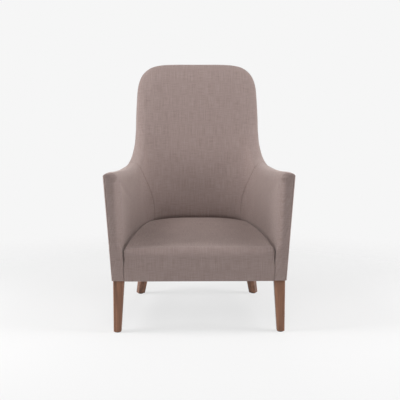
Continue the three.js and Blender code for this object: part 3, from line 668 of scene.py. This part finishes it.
# %% [markdown]
# The front of an arm shows a narrow face with soft long edges, and a seam down its outer side where the
# outside cover is sewn on. Its cloth is pleated a little at the tip.
# It is made as the end of the arm's own tube: the last outline is repeated, narrower each time and a
# little further forward. So it needs no second piece, and there is no gap to hide. The seam is a
# groove between two of the outlines.

# %% Front of an arm
NARROWS = (
    0.999, 0.994, 0.983, 0.965, 0.94, 0.9, 0.85, 0.8, 0.785, 0.77, 0.755, 0.74, 0.7, 0.6, 0.4, 0.2, 0.06,
)
FRONT_SEAM = 0.77
FRONT_SEAM_WIDTH = 0.03
GROOVE = 2.8 * MM
TIP_PLEAT = 1.5 * MM
TIP = (610 * MM, 645 * MM)
CRISP_LOW, CRISP_HIGH = 0.2, 0.35
CORNER_POWER = 1 / 0.7
INNER_SIDE = (0.4, 0.6)
SOFT_ROWS = 20


def front_loops(side):
    """The outlines that narrow as they come round the front edge of an arm, with their UVs."""
    points, _ = wall_loop(side, filled=True)
    skin = EDGE_STEPS + FACE_ROWS + 1
    crown_middle = (points[0] + points[EDGE_STEPS]) / 2
    loops = []
    for narrow in NARROWS:
        cosine = narrow**CORNER_POWER
        row, row_uv = [], []
        for i, p in enumerate(points):
            outer, inner, _ = wall(side * LAST, p.z)
            middle = crown_middle if i < EDGE_STEPS else (outer + inner) / 2
            q = middle + (p - middle) * narrow
            groove = 0
            if i >= skin or i < EDGE_STEPS // 3:
                pleat = GROOVE + TIP_PLEAT * smooth(*TIP, q.z)
                groove = pleat * max(0, 1 - abs(narrow - FRONT_SEAM) / FRONT_SEAM_WIDTH)
            inside = smooth(*INNER_SIDE, i / EDGE_STEPS) if i < skin else 0
            gap = lerp(0, EDGE_FADE, smooth(0, SOFT_ROWS, i - EDGE_STEPS))
            share = front_share(Vector((0, SHIFT.y, p.z)), gap)
            round_cosine = narrow * math.sqrt(1 - share * share)
            soft = FRONT_RISE / (1 - share) * (math.sqrt(1 - round_cosine**2) - share)
            raised = smooth(*SOFT_FROM, p.z)
            crisp = FRONT_RISE * (1 - cosine * cosine) ** lerp(CRISP_LOW, CRISP_HIGH, raised)
            forward = lerp(crisp, soft, inside * raised)
            row.append(q + Vector((0, groove - forward, 0)))
            row_uv.append((along(side * LAST, q.z) - (q.x - p.x) * side + side * forward, q.z))
        loops.append((row, row_uv))
    return loops


print(len(NARROWS), "outlines round an arm's front")

# %% [markdown]
# Now the three padded pieces are laid out: the inside back between its two seams, and each inside arm
# from the seam to its front. The columns lie a little closer together at the ends of a piece, where the
# cloth dips into the seams.

# %% Padded wall pieces
SEAM_GAP = 0.0004
BACK_COLUMNS = 190
ARM_COLUMNS = 110
CROWDED = 0.7
TUBE_FOOT = EDGE_STEPS + FACE_ROWS


def wall_piece(t_from, t_to, count):
    loops = []
    for share in shares(count):
        eased = 0.5 - 0.5 * math.cos(math.pi * share)
        loops.append(wall_loop(lerp(t_from, t_to, lerp(share, eased, CROWDED))))
    return loops


lines = wall_piece(-seam_t + SEAM_GAP, seam_t - SEAM_GAP, BACK_COLUMNS)
inside_back = grid_mesh("inside_back", lines, TUBE_FOOT)

arms = {}
stop = t_at(FILLED_FROM)
for side, word in ((-1, "left"), (1, "right")):
    lines = wall_piece(side * (seam_t + SEAM_GAP), side * stop, ARM_COLUMNS)
    lines += [wall_loop(side * stop, filled=True), wall_loop(side, filled=True)]
    lines += front_loops(side)
    arms[word] = grid_mesh("inside_arm_" + word, lines, TUBE_FOOT)

# %% [markdown]
# The outside covers are single sheets of the same linen, stretched over the frame. They are sewn to the
# padded covers under the rounded edge, and to each other down the two rear corners.
# A sheet is a grid on the outside of the wall with its thickness added inwards by a Solidify modifier.
# Its border turns in by a millimetre, which draws the seam as a fine shadow.

# %% Outside covers
TURN_WIDTH = 7 * MM
TURN_DEPTH = 1.4 * MM
TOP_GAP = 0.6 * MM
SIDE_GAP = 0.003
SHEET_END = 5.975
BACK_STRIPS, ARM_STRIPS = 120, 90


def outside_sheet(name, start, stop, count):
    wide = abs(stop - start) * LAST * SPACING
    lines = []
    for share in shares(count):
        station, top, _ = column(lerp(start, stop, share))
        near_side = clamp(1 - min(share, 1 - share) * wide / TURN_WIDTH)
        row, uv = [], []
        for up in shares(FACE_ROWS):
            z = lerp(FOOT_Z, top - TOP_GAP, up)
            near_top = clamp(1 - (top - z) / TURN_WIDTH)
            row.append(wall_point(station, z, TURN_DEPTH * max(near_top, near_side) ** 2))
            uv.append((along(station, z), z))
        lines.append((row, uv))
    piece = grid_mesh(name, lines)
    faces = piece.data.polygons
    inward = wall(column((start + stop) / 2)[0], 0.5)[2]
    if faces[len(faces) // 2].normal.dot(inward) > 0:
        piece.data.flip_normals()
    thicken(piece, COVER, offset=-1)
    return piece


back_out, arm_out = t_at(OUTSIDE_SEAM - SIDE_GAP), t_at(OUTSIDE_SEAM + SIDE_GAP)
front_out = t_at(SHEET_END)
outside_back = outside_sheet("outside_back", -back_out, back_out, BACK_STRIPS)
outside_arms = {
    "left": outside_sheet("outside_arm_left", -front_out, -arm_out, ARM_STRIPS),
    "right": outside_sheet("outside_arm_right", arm_out, front_out, ARM_STRIPS),
}

# %% [markdown]
# Several pieces fill the inside of the tub: the seat, the insulator over the springs and the dust cloth.
# All have the same plan, straight across the front and round the walls elsewhere.
# Such a shape is a patch between four edges, known as a Coons patch. Its grid runs along the walls,
# where a square grid that is cut to shape would leave steps.

# %% Patch inside the tub
CORNER = 3.1


def patch(edge, start, across, back):
    """A place of a patch inside the tub, with across from -1 to 1 and back from 0 to 1."""
    a = (across + 1) / 2
    front, far = edge(-start).lerp(edge(start), a), edge(-CORNER).lerp(edge(CORNER), a)
    left, right = edge(-lerp(start, CORNER, back)), edge(lerp(start, CORNER, back))
    return front.lerp(edge(across * CORNER), back) + left.lerp(right, a) - front.lerp(far, back)


print("the patch turns its rear corners at station", CORNER)

# %% [markdown]
# The seat is upholstered in one with the frame: a sprung, stuffed top that rolls over at the front in
# what makers call a waterfall, and runs down flat to the legs. There is no loose cushion.
# A cube under a Subdivision Surface gives a cushion fast, but it could not follow the walls. So the seat
# is drawn as lines from the foot of its front over the top to the back, one beside the other, and the
# underside is the same lines pulled back behind the front rail.
# These first values place the front, which stands level with the arms low down and a little behind them
# at the top.

# %% Values of the seat
SEAT_FRONT = -5 * MM + SHIFT.y
SEAT_FLUSH = -7 * MM + SHIFT.y
SEAT_FOOT = FOOT_Z - 3 * MM
SEAT_GAP = 7.5 * MM
CLOSED_GAP = 0.6 * MM
SEAT_TURN = 4 * MM
SEAT_UNDER = 306.4 * MM
SIDE_RADIUS = 18 * MM
RAIL_FACE = 8.3 * MM + SHIFT.y
RAIL_TOP = 298 * MM
TUCK = (5.5 * MM, 11 * MM)
SIDE_TUCK = 0.35
FLUSH_TO = (252 * MM, 290 * MM)
LOW_EDGE = (2.5 * MM, 5 * MM)
GAP_OPENS = (272 * MM, 300 * MM)
GAP_CLOSES = (0.5, 0.95)
BULGE = 3 * MM
FOOT_CALM, SIDE_CALM = 25 * MM, 40 * MM
RISE_STATIONS = 2.2
TOP_LENGTH = 500 * MM
TURN_STEPS, FACE_STEPS, ROLL_STEPS, TOP_STEPS, ACROSS_STEPS = 6, 24, 13, 80, 90
print("the seat's front stands at y =", round(SEAT_FRONT, 4))


# %% [markdown]
# The seat's edges are tucked in along the arms and the back, so its height and its front both fall away
# there. A gap of a few millimetres stays open beside the front, where the photograph shows a dark line,
# and closes towards the back.

# %% Edges of the seat
def seat_edge(station):
    rise = min(1, (LAST - abs(station)) / RISE_STATIONS)
    return wall(station, lerp(SEAT_CREST, SEAT_REAR, rise))[1]


def front_face(z, side_gap):
    """The seat's front in depth: flush with the arms low down, turned under at its foot."""
    low = SEAT_FLUSH + dip_at(side_gap, LOW_EDGE)
    high = SEAT_FRONT + dip_at(side_gap, TUCK) * SIDE_TUCK
    turned = max(0, SEAT_FOOT + SEAT_TURN - z) / SEAT_TURN
    return lerp(low, high, smooth(*FLUSH_TO, z)) + SEAT_TURN * quarter(turned)


def seat_front(side_gap, crest, radius):
    """The seat's front from its foot to the end of its roll, as places in depth and height."""
    foot = SEAT_FOOT + SEAT_TURN
    turns = shares(TURN_STEPS)[:-1]
    heights = [SEAT_FOOT + SEAT_TURN * (1 - math.cos(math.pi / 2 * turn)) for turn in turns]
    heights += [lerp(foot, crest - radius, up) for up in shares(FACE_STEPS)]
    places = [(front_face(z, side_gap), z) for z in heights]
    roll_y = SEAT_FRONT + dip_at(side_gap, TUCK) * SIDE_TUCK
    for turn in shares(ROLL_STEPS)[1:-1]:
        angle = math.pi / 2 * turn
        places.append((roll_y + radius * (1 - math.cos(angle)), crest - radius * (1 - math.sin(angle))))
    return places, roll_y + radius


print("the seat's rear edge:", seat_edge(0))


# %% [markdown]
# One line of the seat, front and top. The third list that it fills is where the underside goes: at the
# wall itself, so that nothing of the frame can be seen through the gap.

# %% Lines of the seat
def seat_line(across):
    """A closed line round the seat at one place across it, with its UVs."""
    side_gap = (1 - abs(across)) * INNER_HALF
    radius = lerp(SEAT_RADIUS, SIDE_RADIUS, across**4)
    crest = seat_height(seat_edge(LAST).x * across, SHIFT.y) - dip_at(side_gap, TUCK)
    places, start_y = seat_front(side_gap, crest, radius)
    row, uv, wall_x = [], [], []
    last, path = places[0], places[0][1]
    for y, z in places:
        path += math.dist((y, z), last)
        last = (y, z)
        limit = wall(LAST, z)[1].x
        x = across * (limit - lerp(CLOSED_GAP, SEAT_GAP, smooth(*GAP_OPENS, z)))
        bulge = BULGE * math.sin(math.pi * clamp((z - FOOT_Z) / (crest - FOOT_Z)))
        place = Vector((x, y - bulge * (1 - across**6), z))
        calm = smooth(0, FOOT_CALM, z - SEAT_FOOT) * smooth(0, SIDE_CALM, side_gap)
        swell = calm * lumps(place, SEAT_LUMPS)
        turn = clamp((z - crest + radius) / radius)
        row.append(place + Vector((0, -swell * math.sqrt(1 - turn * turn), swell * turn)))
        uv.append((x, path))
        wall_x.append(across * (limit - CLOSED_GAP))
    for share in shares(TOP_STEPS):
        back = math.sin(math.pi / 2 * share)
        x, y, _ = patch(seat_edge, LAST, across, back)
        y += (start_y - SHIFT.y) * (1 - back)
        rear_gap, reach = (1 - back) * TOP_LENGTH, TUCK[1]
        corner = math.hypot(max(reach - side_gap, 0), max(reach - rear_gap, 0))
        edge_gap = min(side_gap, rear_gap, reach - min(corner, reach))
        gap = lerp(SEAT_GAP, CLOSED_GAP, smooth(*GAP_CLOSES, back))
        place = Vector((x - gap * across, y, seat_height(x, y) - dip_at(edge_gap, TUCK)))
        calm = smooth(0, SIDE_CALM, min(side_gap, rear_gap))
        row.append(place + Vector((0, 0, calm * lumps(place, SEAT_LUMPS))))
        uv.append((x, path + (y - start_y)))
        wall_x.append(x - CLOSED_GAP * across)
    under = [
        Vector((x, RAIL_FACE, p.z)) if p.z < RAIL_TOP else Vector((x, max(p.y, RAIL_FACE), SEAT_UNDER))
        for p, x in zip(row, wall_x)
    ]
    return row + under[::-1], uv + uv[::-1]


lines = [seat_line(math.sin(math.pi * (share - 0.5))) for share in shares(ACROSS_STEPS)]
seat = grid_mesh("seat", lines, foot=len(lines[0][0]) // 2 - 1)

# %% [markdown]
# Two flat sheets lie in the seat's frame: a black dust cloth closes it from below, and a felt insulator
# keeps the stuffing out of the springs. Both are out of sight from the front, but a reader who turns the
# chair over should find them.
# Each is the patch again, at the height of its CAD solid, with a strip added up to the front rail.

# %% Flat sheets
SHEET_START = 5.7
SHEET_THICKNESS = 1 * MM
SHEET_STEPS, SHEET_ROWS, STRIP_ROWS = 60, 40, 4


def flat_sheet(name, node, depth, narrowed):
    """A flat sheet in the tub, with its sides at a depth in the wall."""
    low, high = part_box(node)
    front_y, half, z = low[1] + 1 * MM, high[0] * narrowed, (low[2] + high[2]) / 2

    def edge(station):
        return wall_point(station, FOOT_Z, depth)

    lines = []
    for share in shares(SHEET_STEPS):
        across = lerp(-1, 1, share)
        spots = [patch(edge, SHEET_START, across, back) for back in shares(SHEET_ROWS)]
        strip = [lerp(front_y, spots[0].y, back) for back in shares(STRIP_ROWS)[:-1]]
        row = [Vector((half * across, y, z)) for y in strip] + [Vector((p.x, p.y, z)) for p in spots]
        lines.append((row, [(p.x, p.y) for p in row]))
    piece = grid_mesh(name, lines)
    thicken(piece, SHEET_THICKNESS)
    return piece


dust = flat_sheet("dust_cloth", "dust_cover", 3.4 * MM, 0.98)
insulator = flat_sheet("insulator", "spring_insulator", 38.5 * MM, 0.99)

# %% [markdown]
# Four webs run up the back, from the rail behind the seat to the rail at the head, and carry its
# padding. They are strips of jute webbing, 48 mm wide, which bow with the wall. As they are flat and
# tight, a grid on the wall at their depth is all that they need.

# %% Webs
WEB_DEPTH = 35.1 * MM
WEB_THICKNESS = 1.3 * MM
WEB_HALF = 0.22
WEB_APART = 1.06
WEB_ENDS = (410 * MM, 962 * MM)
WEBS, WEB_COLUMNS, WEB_ROWS = 4, 8, 40


def web_strip(number):
    middle = (number - (WEBS + 1) / 2) * WEB_APART
    heights = [lerp(*WEB_ENDS, share) for share in shares(WEB_ROWS)]
    lines = []
    for share in shares(WEB_COLUMNS):
        station = middle + lerp(-WEB_HALF, WEB_HALF, share)
        row = [wall_point(station, z, WEB_DEPTH) for z in heights]
        lines.append((row, [(station * SPACING, z) for z in heights]))
    piece = grid_mesh("back_strap_%d" % number, lines)
    thicken(piece, WEB_THICKNESS)
    return piece


webs = [web_strip(number) for number in range(1, WEBS + 1)]


# %% [markdown]
# Materials are made from nodes, with no pictures, so they stay sharp at any distance and fit any size.
# Four helpers keep each one short. The first turns a colour as it is written on a paint card into the
# linear light that Blender reckons with. The second sets or links a node's sockets, the third adds a
# node with its settings, and the fourth starts a material.

# %% Material helpers
def linear(hex_colour):
    """An sRGB hex colour as linear red, green, blue and alpha."""
    parts = [int(hex_colour[i : i + 2], 16) / 255 for i in (0, 2, 4)]
    return [c / 12.92 if c <= 0.04045 else ((c + 0.055) / 1.055) ** 2.4 for c in parts] + [1.0]


def wire(node, sockets):
    """Sets or links sockets. A node stands for its first output, and a text for its colour."""
    for key, value in sockets.items():
        named = [socket for socket in node.inputs if socket.enabled and socket.name == key]
        socket = named[0] if named else node.inputs[key]
        if isinstance(value, str):
            value = linear(value)
        if isinstance(value, bpy.types.Node):
            value = next(output for output in value.outputs if output.enabled)
        if isinstance(value, bpy.types.NodeSocket):
            node.id_data.links.new(value, socket)
        else:
            socket.default_value = value


def add(tree, kind, sockets=None, **settings):
    """Adds a node with its settings, and sets or links its sockets."""
    node = tree.nodes.new("ShaderNode" + kind)
    for key, value in settings.items():
        setattr(node, key, value)
    wire(node, sockets or {})
    return node


def new_material(name, colour, roughness):
    """A material with its plain colour and roughness, and its tree and shader to build on."""
    material = bpy.data.materials.new(name)
    material.use_nodes = True
    shader = material.node_tree.nodes["Principled BSDF"]
    wire(shader, {"Base Color": colour, "Roughness": roughness})
    print("finish", name)
    return material, material.node_tree, shader


# %% [markdown]
# The cover is linen, woven plain and dyed taupe. Flax thread is spun unevenly, so the cloth shows slubs:
# thick places that run a few centimetres along a thread, up the cloth and across it. To the eye that is
# a fine cross-hatch of paler and darker dashes over a matt surface, with a faint bloom at grazing light
# from the fibres' ends, which the sheen gives.
# An image of cloth would be quicker, but it repeats and blurs. Here stretched noise makes the slubs of
# warp and weft, sine waves make the weave, and both lift the surface a little through a bump. The weave
# also darkens the colour between the threads, which is painted shade.
# Real linen has 12 to 15 threads to a centimetre. The weave is drawn a little coarser and the slubs are
# 3 mm wide, because anything finer is lost at the size of the render.

# %% Linen
WARP, WEFT = 1.1 * MM, 1.2 * MM
SLUBS = (2.94 * MM, 62.5 * MM)  # width and height of a thick place in the warp
PICKS = (41.67 * MM, 2.94 * MM)  # the same in the weft
STREAKS = (6.67 * MM, 250 * MM)  # long shades up the cloth, from one spool of thread to the next
PATCHES = 111 * MM  # where the cloth is handled or faded
CLOTH_BUMP = 0.3 * MM


def linen():
    material, tree, shader = new_material("taupe linen", "9C8A84", 0.9)
    cloth = add(tree, "UVMap", uv_map="cloth")
    noises = []
    for (wide, high), detail in ((SLUBS, 3.0), (PICKS, 2.0), (STREAKS, 2.0)):
        spot = add(tree, "Mapping", {"Vector": cloth, "Scale": (1 / wide, 1 / high, 1)})
        noises.append(add(tree, "TexNoise", {"Vector": spot, "Scale": 1.0, "Detail": detail}))
    slubs, picks, streaks = noises
    place = add(tree, "TexCoord").outputs["Object"]
    patches = add(tree, "TexNoise", {"Vector": place, "Scale": 1 / PATCHES, "Detail": 3.0})

    split = add(tree, "SeparateXYZ", {"Vector": cloth})
    waves = []
    for axis, spacing in (("X", WARP), ("Y", WEFT)):
        turns = {0: split.outputs[axis], 1: 2 * math.pi / spacing}
        angle = add(tree, "Math", turns, operation="MULTIPLY")
        waves.append(add(tree, "Math", {0: angle}, operation="SINE"))
    weave = add(tree, "Math", {0: waves[0], 1: waves[1]}, operation="MULTIPLY")

    across = add(tree, "Math", {0: picks, 1: 0.42}, operation="MULTIPLY")
    hatch = add(tree, "Math", {0: slubs, 1: 0.58, 2: across}, operation="MULTIPLY_ADD")
    dash = add(tree, "MapRange", {"Value": hatch, "From Min": 0.36, "From Max": 0.64})
    base = add(tree, "Mix", {"Factor": dash, "A": "877572", "B": "A79692"}, data_type="RGBA")
    streak = add(tree, "MapRange", {"Value": streaks, "From Min": 0.3, "From Max": 0.7, "To Max": 0.12})
    layers = (  # how strongly each one covers, and its colour
        (add(tree, "Math", {0: picks, 1: 0.5}, operation="MULTIPLY"), "A08F89"),
        # painted shade between the threads of the weave
        (add(tree, "Math", {0: weave, 1: 0.09, 2: 0.09}, operation="MULTIPLY_ADD"), "62524E"),
        (add(tree, "Math", {0: patches, 1: 0.22}, operation="MULTIPLY"), "A9968F"),
        (streak, "7E6D68"),
    )
    for share, colour in layers:
        base = add(tree, "Mix", {"Factor": share, "A": base, "B": colour}, data_type="RGBA")

    height = add(tree, "Math", {0: weave, 1: 0.5, 2: slubs}, operation="MULTIPLY_ADD")
    bump = add(tree, "Bump", {"Height": height, "Strength": 0.5, "Distance": CLOTH_BUMP})
    wire(shader, {"Base Color": base, "Normal": bump, "Specular IOR Level": 0.2})
    wire(shader, {"Sheen Weight": 0.6, "Sheen Roughness": 0.5, "Sheen Tint": "D6C8C3"})
    return material


# %% [markdown]
# The legs are walnut, planed, stained and lacquered to a satin. Its grain runs up the leg in bands of
# darker and paler wood, with short dark pores between them, and the lacquer shines a little more on the
# dense bands. The frame is beech, left as it was sawn: pale, fine and dull.
# Both are one recipe with other colours. Noise that is stretched along the leg gives the bands, and
# finer noise the pores. A Wave texture would draw rings, but these legs are too thin to show any.
# The bands are 18 mm wide and 310 mm long, the pores 1.1 mm wide and 45 mm long. Real pores are finer,
# and would not show.

# %% Woods
BANDS = (18.18 * MM, 312.5 * MM)  # width and length
PORES = (1.136 * MM, 45.45 * MM)
WOOD_BUMP = 0.3 * MM


def wood(name, colour, dark, pale, roughness):
    material, tree, shader = new_material(name, colour, roughness)
    place = add(tree, "TexCoord").outputs["Object"]
    grain = []
    for (wide, high), detail, wave in ((BANDS, 5.0, 0.6), (PORES, 2.0, 0.0)):
        spot = add(tree, "Mapping", {"Vector": place, "Scale": (1 / wide, 1 / wide, 1 / high)})
        values = {"Vector": spot, "Scale": 1.0, "Detail": detail, "Distortion": wave}
        grain.append(add(tree, "TexNoise", values))
    bands, pores = grain
    share = add(tree, "MapRange", {"Value": bands, "From Min": 0.3, "From Max": 0.7})
    base = add(tree, "Mix", {"Factor": share, "A": dark, "B": pale}, data_type="RGBA")
    pore = add(tree, "MapRange", {"Value": pores, "From Min": 0.62, "From Max": 0.75, "To Max": 0.5})
    base = add(tree, "Mix", {"Factor": pore, "A": base, "B": dark}, data_type="RGBA")
    rough = add(tree, "Math", {0: bands, 1: 0.2, 2: roughness - 0.1}, operation="MULTIPLY_ADD")
    bump = add(tree, "Bump", {"Height": pores, "Strength": 0.25, "Distance": WOOD_BUMP})
    wire(shader, {"Base Color": base, "Roughness": rough, "Normal": bump})
    return material


# %% [markdown]
# The other finishes are out of sight from the front, but the real chair has them. Zinc plated spring
# steel has a dull grey shine with a fine spangle. Moulded nylon glides are dark, with a faint grain.
# The dust cloth is black spunbond and matt. Jute webbing is brown, hairy and coarsely woven, and felt
# is grey and fluffy, with specks of other fibres. Sizes are in millimetres, for the grain and for the
# weave.

# %% Plain finishes
GRAIN_BUMP = 0.3 * MM


def speckled(name, colour, dark, roughness, grain, metal=0.0, weave=None):
    material, tree, shader = new_material(name, colour, roughness)
    place = add(tree, "TexCoord").outputs["Object"]
    height = add(tree, "TexNoise", {"Vector": place, "Scale": 1 / (grain * MM), "Detail": 4.0})
    base = add(tree, "Mix", {"Factor": height, "A": dark, "B": colour}, data_type="RGBA")
    if weave:
        checks = add(tree, "TexChecker", {"Vector": place, "Scale": 1 / (weave * MM)}).outputs["Fac"]
        woven = add(tree, "Math", {0: checks, 1: 0.35}, operation="MULTIPLY")
        base = add(tree, "Mix", {"Factor": woven, "A": base, "B": dark}, data_type="RGBA")
        height = add(tree, "Math", {0: height, 1: checks}, operation="ADD")
    bump = add(tree, "Bump", {"Height": height, "Strength": 0.3, "Distance": GRAIN_BUMP})
    wire(shader, {"Base Color": base, "Normal": bump, "Metallic": metal})
    return material


finish = {
    "linen": linen(),
    "walnut": wood("stained walnut", "7F5C4B", "4F3022", "9C6E53", 0.42),
    "beech": wood("plain beech", "C9A57A", "B48D62", "D6B78F", 0.65),
    "steel": speckled("zinc plated steel", "9A9C9E", "6E7072", 0.38, 2.5, metal=1.0),
    "nylon": speckled("dark nylon", "2E2A28", "1F1C1B", 0.5, 1.11),
    "cambric": speckled("black dust cloth", "232122", "121112", 0.95, 3.33, weave=1.2),
    "jute": speckled("jute webbing", "8A7658", "5F4F38", 0.95, 2.0, weave=2.4),
    "felt": speckled("grey felt", "6F6A66", "4E4A47", 1.0, 0.833),
}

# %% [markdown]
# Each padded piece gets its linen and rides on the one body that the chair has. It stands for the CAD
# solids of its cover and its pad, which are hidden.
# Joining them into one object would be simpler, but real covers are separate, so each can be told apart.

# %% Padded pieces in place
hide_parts("seat_cover", "seat_pad")
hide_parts("inside_back_cover", "back_pad")
for word, arm in arms.items():
    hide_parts("inside_arm_cover_" + word, "arm_pad_" + word)
for piece in (seat, inside_back, *arms.values()):
    set_material(piece, finish["linen"])
    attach(piece, "root")
print("padded pieces:", 2 + len(arms))

# %% [markdown]
# Each sheet gets its finish and rides on the one body that the chair has, in place of its CAD solid. The
# size that it was cut to, before it was stretched, is given with it and printed beside its area. The
# size is worked out from the form that each one covers, with the turned-in edges.

# %% Sheets in place
def declare_sheet(piece, node, flat, material="linen"):
    print(piece.name, "area", round(sum(f.area for f in piece.data.polygons), 3), "flat", flat)
    set_material(piece, finish[material])
    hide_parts(node)
    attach(piece, "root")


declare_sheet(outside_back, "outside_back_cover", (0.62, 0.86))
for word, piece in outside_arms.items():
    declare_sheet(piece, "outside_arm_cover_" + word, (0.56, 0.5))
declare_sheet(dust, "dust_cover", (0.68, 0.69), "cambric")
declare_sheet(insulator, "spring_insulator", (0.58, 0.6), "felt")
for number, web in enumerate(webs, 1):
    declare_sheet(web, "back_web_%d" % number, (0.048, 0.56), "jute")

# %% [markdown]
# The hard parts keep their CAD shapes and only get a finish, by the start of their names: walnut for the
# legs, steel for the springs and fixings, nylon for the glides, and beech for the rest of the frame.

# %% Finishes of the hard parts
NODE_FINISH = (
    ("leg_bolt", "steel"), ("leg_insert", "steel"), ("leg_", "walnut"), ("glide", "nylon"),
    ("seat_spring", "steel"), ("spring_clip", "steel"),
)
for name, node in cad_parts.items():
    kinds = [kind for start, kind in NODE_FINISH if name.startswith(start)]
    set_material(node, finish[kinds[0] if kinds else "beech"])
print(len(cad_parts), "CAD pieces have a finish")

# %% [markdown]
# A product photograph like this is taken in a white studio. The floor is a wide pale disc that turns
# transparent far out, so it melts into the backdrop, and near the chair it keeps a faint shadow that
# grounds the legs.
# A floor lit to white would bleach the chair. So Light Path tells what the camera sees straight, in
# gloss or through glass, and only there the floor and the backdrop shine of themselves.

# %% Floor
BACKDROP = "F6F6F6"
FLOOR_RADIUS = 6
FADE = (0.9, 2.2)
OWN_LIGHT = 0.7


def seen_directly(tree):
    """1 for what the camera sees, reflected or not, and 0 for the light that falls on the chair."""
    path = add(tree, "LightPath")
    first = {0: path.outputs["Is Camera Ray"], 1: path.outputs["Is Glossy Ray"]}
    seen = add(tree, "Math", first, operation="MAXIMUM")
    return add(tree, "Math", {0: seen, 1: path.outputs["Is Transmission Ray"]}, operation="MAXIMUM")


mesh = bmesh.new()
bmesh.ops.create_circle(mesh, cap_ends=True, segments=96, radius=FLOOR_RADIUS)
floor = mesh_object("floor", mesh)
material, tree, shader = new_material("pale floor", BACKDROP, 1.0)
wire(shader, {"Specular IOR Level": 0})
place = add(tree, "TexCoord").outputs["Object"]
away = add(tree, "VectorMath", {0: place}, operation="LENGTH").outputs["Value"]
ends = {"Value": away, "From Min": FADE[0], "From Max": FADE[1]}
fade = add(tree, "MapRange", ends, interpolation_type="SMOOTHSTEP")
own = add(tree, "Math", {0: seen_directly(tree), 1: OWN_LIGHT}, operation="MULTIPLY")
pale = add(tree, "Emission", {"Color": BACKDROP})
lit = add(tree, "MixShader", {0: own, 1: shader, 2: pale})
blend = add(tree, "MixShader", {0: fade, 1: lit, 2: add(tree, "BsdfTransparent")})
wire(tree.nodes["Material Output"], {"Surface": blend})
set_material(floor, material)

# %% [markdown]
# Six soft lamps light the chair. In the photograph both rims of the back are bright and its middle is
# not, so the strongest two stand low at the sides, like tall soft boxes. Two above them lift the arms,
# one in front fills the shade, and one behind shows the edge.
# A studio picture round the scene would light it too, but lamps can be tuned one at a time: each was
# rendered alone, and the mix was set to the photograph's shades.

# %% Lamps
LAMP_TARGET = Vector((0, 0, 0.6))
LAMPS = (  # name, place, size across in metres, power in watts
    ("left", (-2.6, -0.5, 1.2), 1.6, 52),
    ("right", (2.6, -0.5, 1.2), 1.6, 46),
    ("high left", (-1.6, -0.6, 2.6), 1.0, 23),
    ("high right", (1.6, -0.6, 2.6), 1.0, 17),
    ("front", (0.0, -2.6, 2.0), 1.2, 17),
    ("back", (0.4, 3.2, 2.3), 1.4, 16),
)
for name, place, size, power in LAMPS:
    light = bpy.data.lights.new(name, "AREA")
    light.shape, light.size, light.energy = "DISK", size, power
    lamp = new_object(name, light)
    lamp.location = place
    lamp.rotation_euler = (LAMP_TARGET - Vector(place)).to_track_quat("-Z", "Y").to_euler()
print(len(LAMPS), "lamps,", sum(power for *_, power in LAMPS), "W in all")

# %% [markdown]
# The world is a white room that gives a little light from all sides, and shows as the pale backdrop. The
# view transform is Standard, so that a colour renders about as it is written.

# %% World
ROOM_LIGHT = 0.1

world = bpy.data.worlds.new("studio")
world.use_nodes = True
tree = world.node_tree
room = tree.nodes["Background"]
wire(room, {"Color": "FFFFFF", "Strength": ROOM_LIGHT})
backdrop = add(tree, "Background", {"Color": BACKDROP})
choice = add(tree, "MixShader", {0: seen_directly(tree), 1: room, 2: backdrop})
wire(tree.nodes["World Output"], {"Surface": choice})
bpy.context.scene.world = world
bpy.context.scene.view_settings.view_transform = "Standard"
print("the room's light is", ROOM_LIGHT)

# %% [markdown]
# The camera stands where the photographer's did: 3.1 m in front of the seat, 0.91 m up, a little left of
# the middle and looking down 7 degrees. The heights of the front and rear feet in the picture gave its
# place. A longer lens from further off would frame the chair too, but flatten the seat.

# %% Camera
LOOKS_DOWN = 0.1222
lens = bpy.data.cameras.new("camera")
lens.sensor_width = 36
lens.lens = 72.09
camera = new_object("camera", lens)
camera.location = (-0.050, -3.482, 0.910)
camera.rotation_euler = (math.pi / 2 - LOOKS_DOWN, 0, -0.01707)
bpy.context.scene.camera = camera
print("the camera looks down", round(math.degrees(LOOKS_DOWN), 1), "degrees")
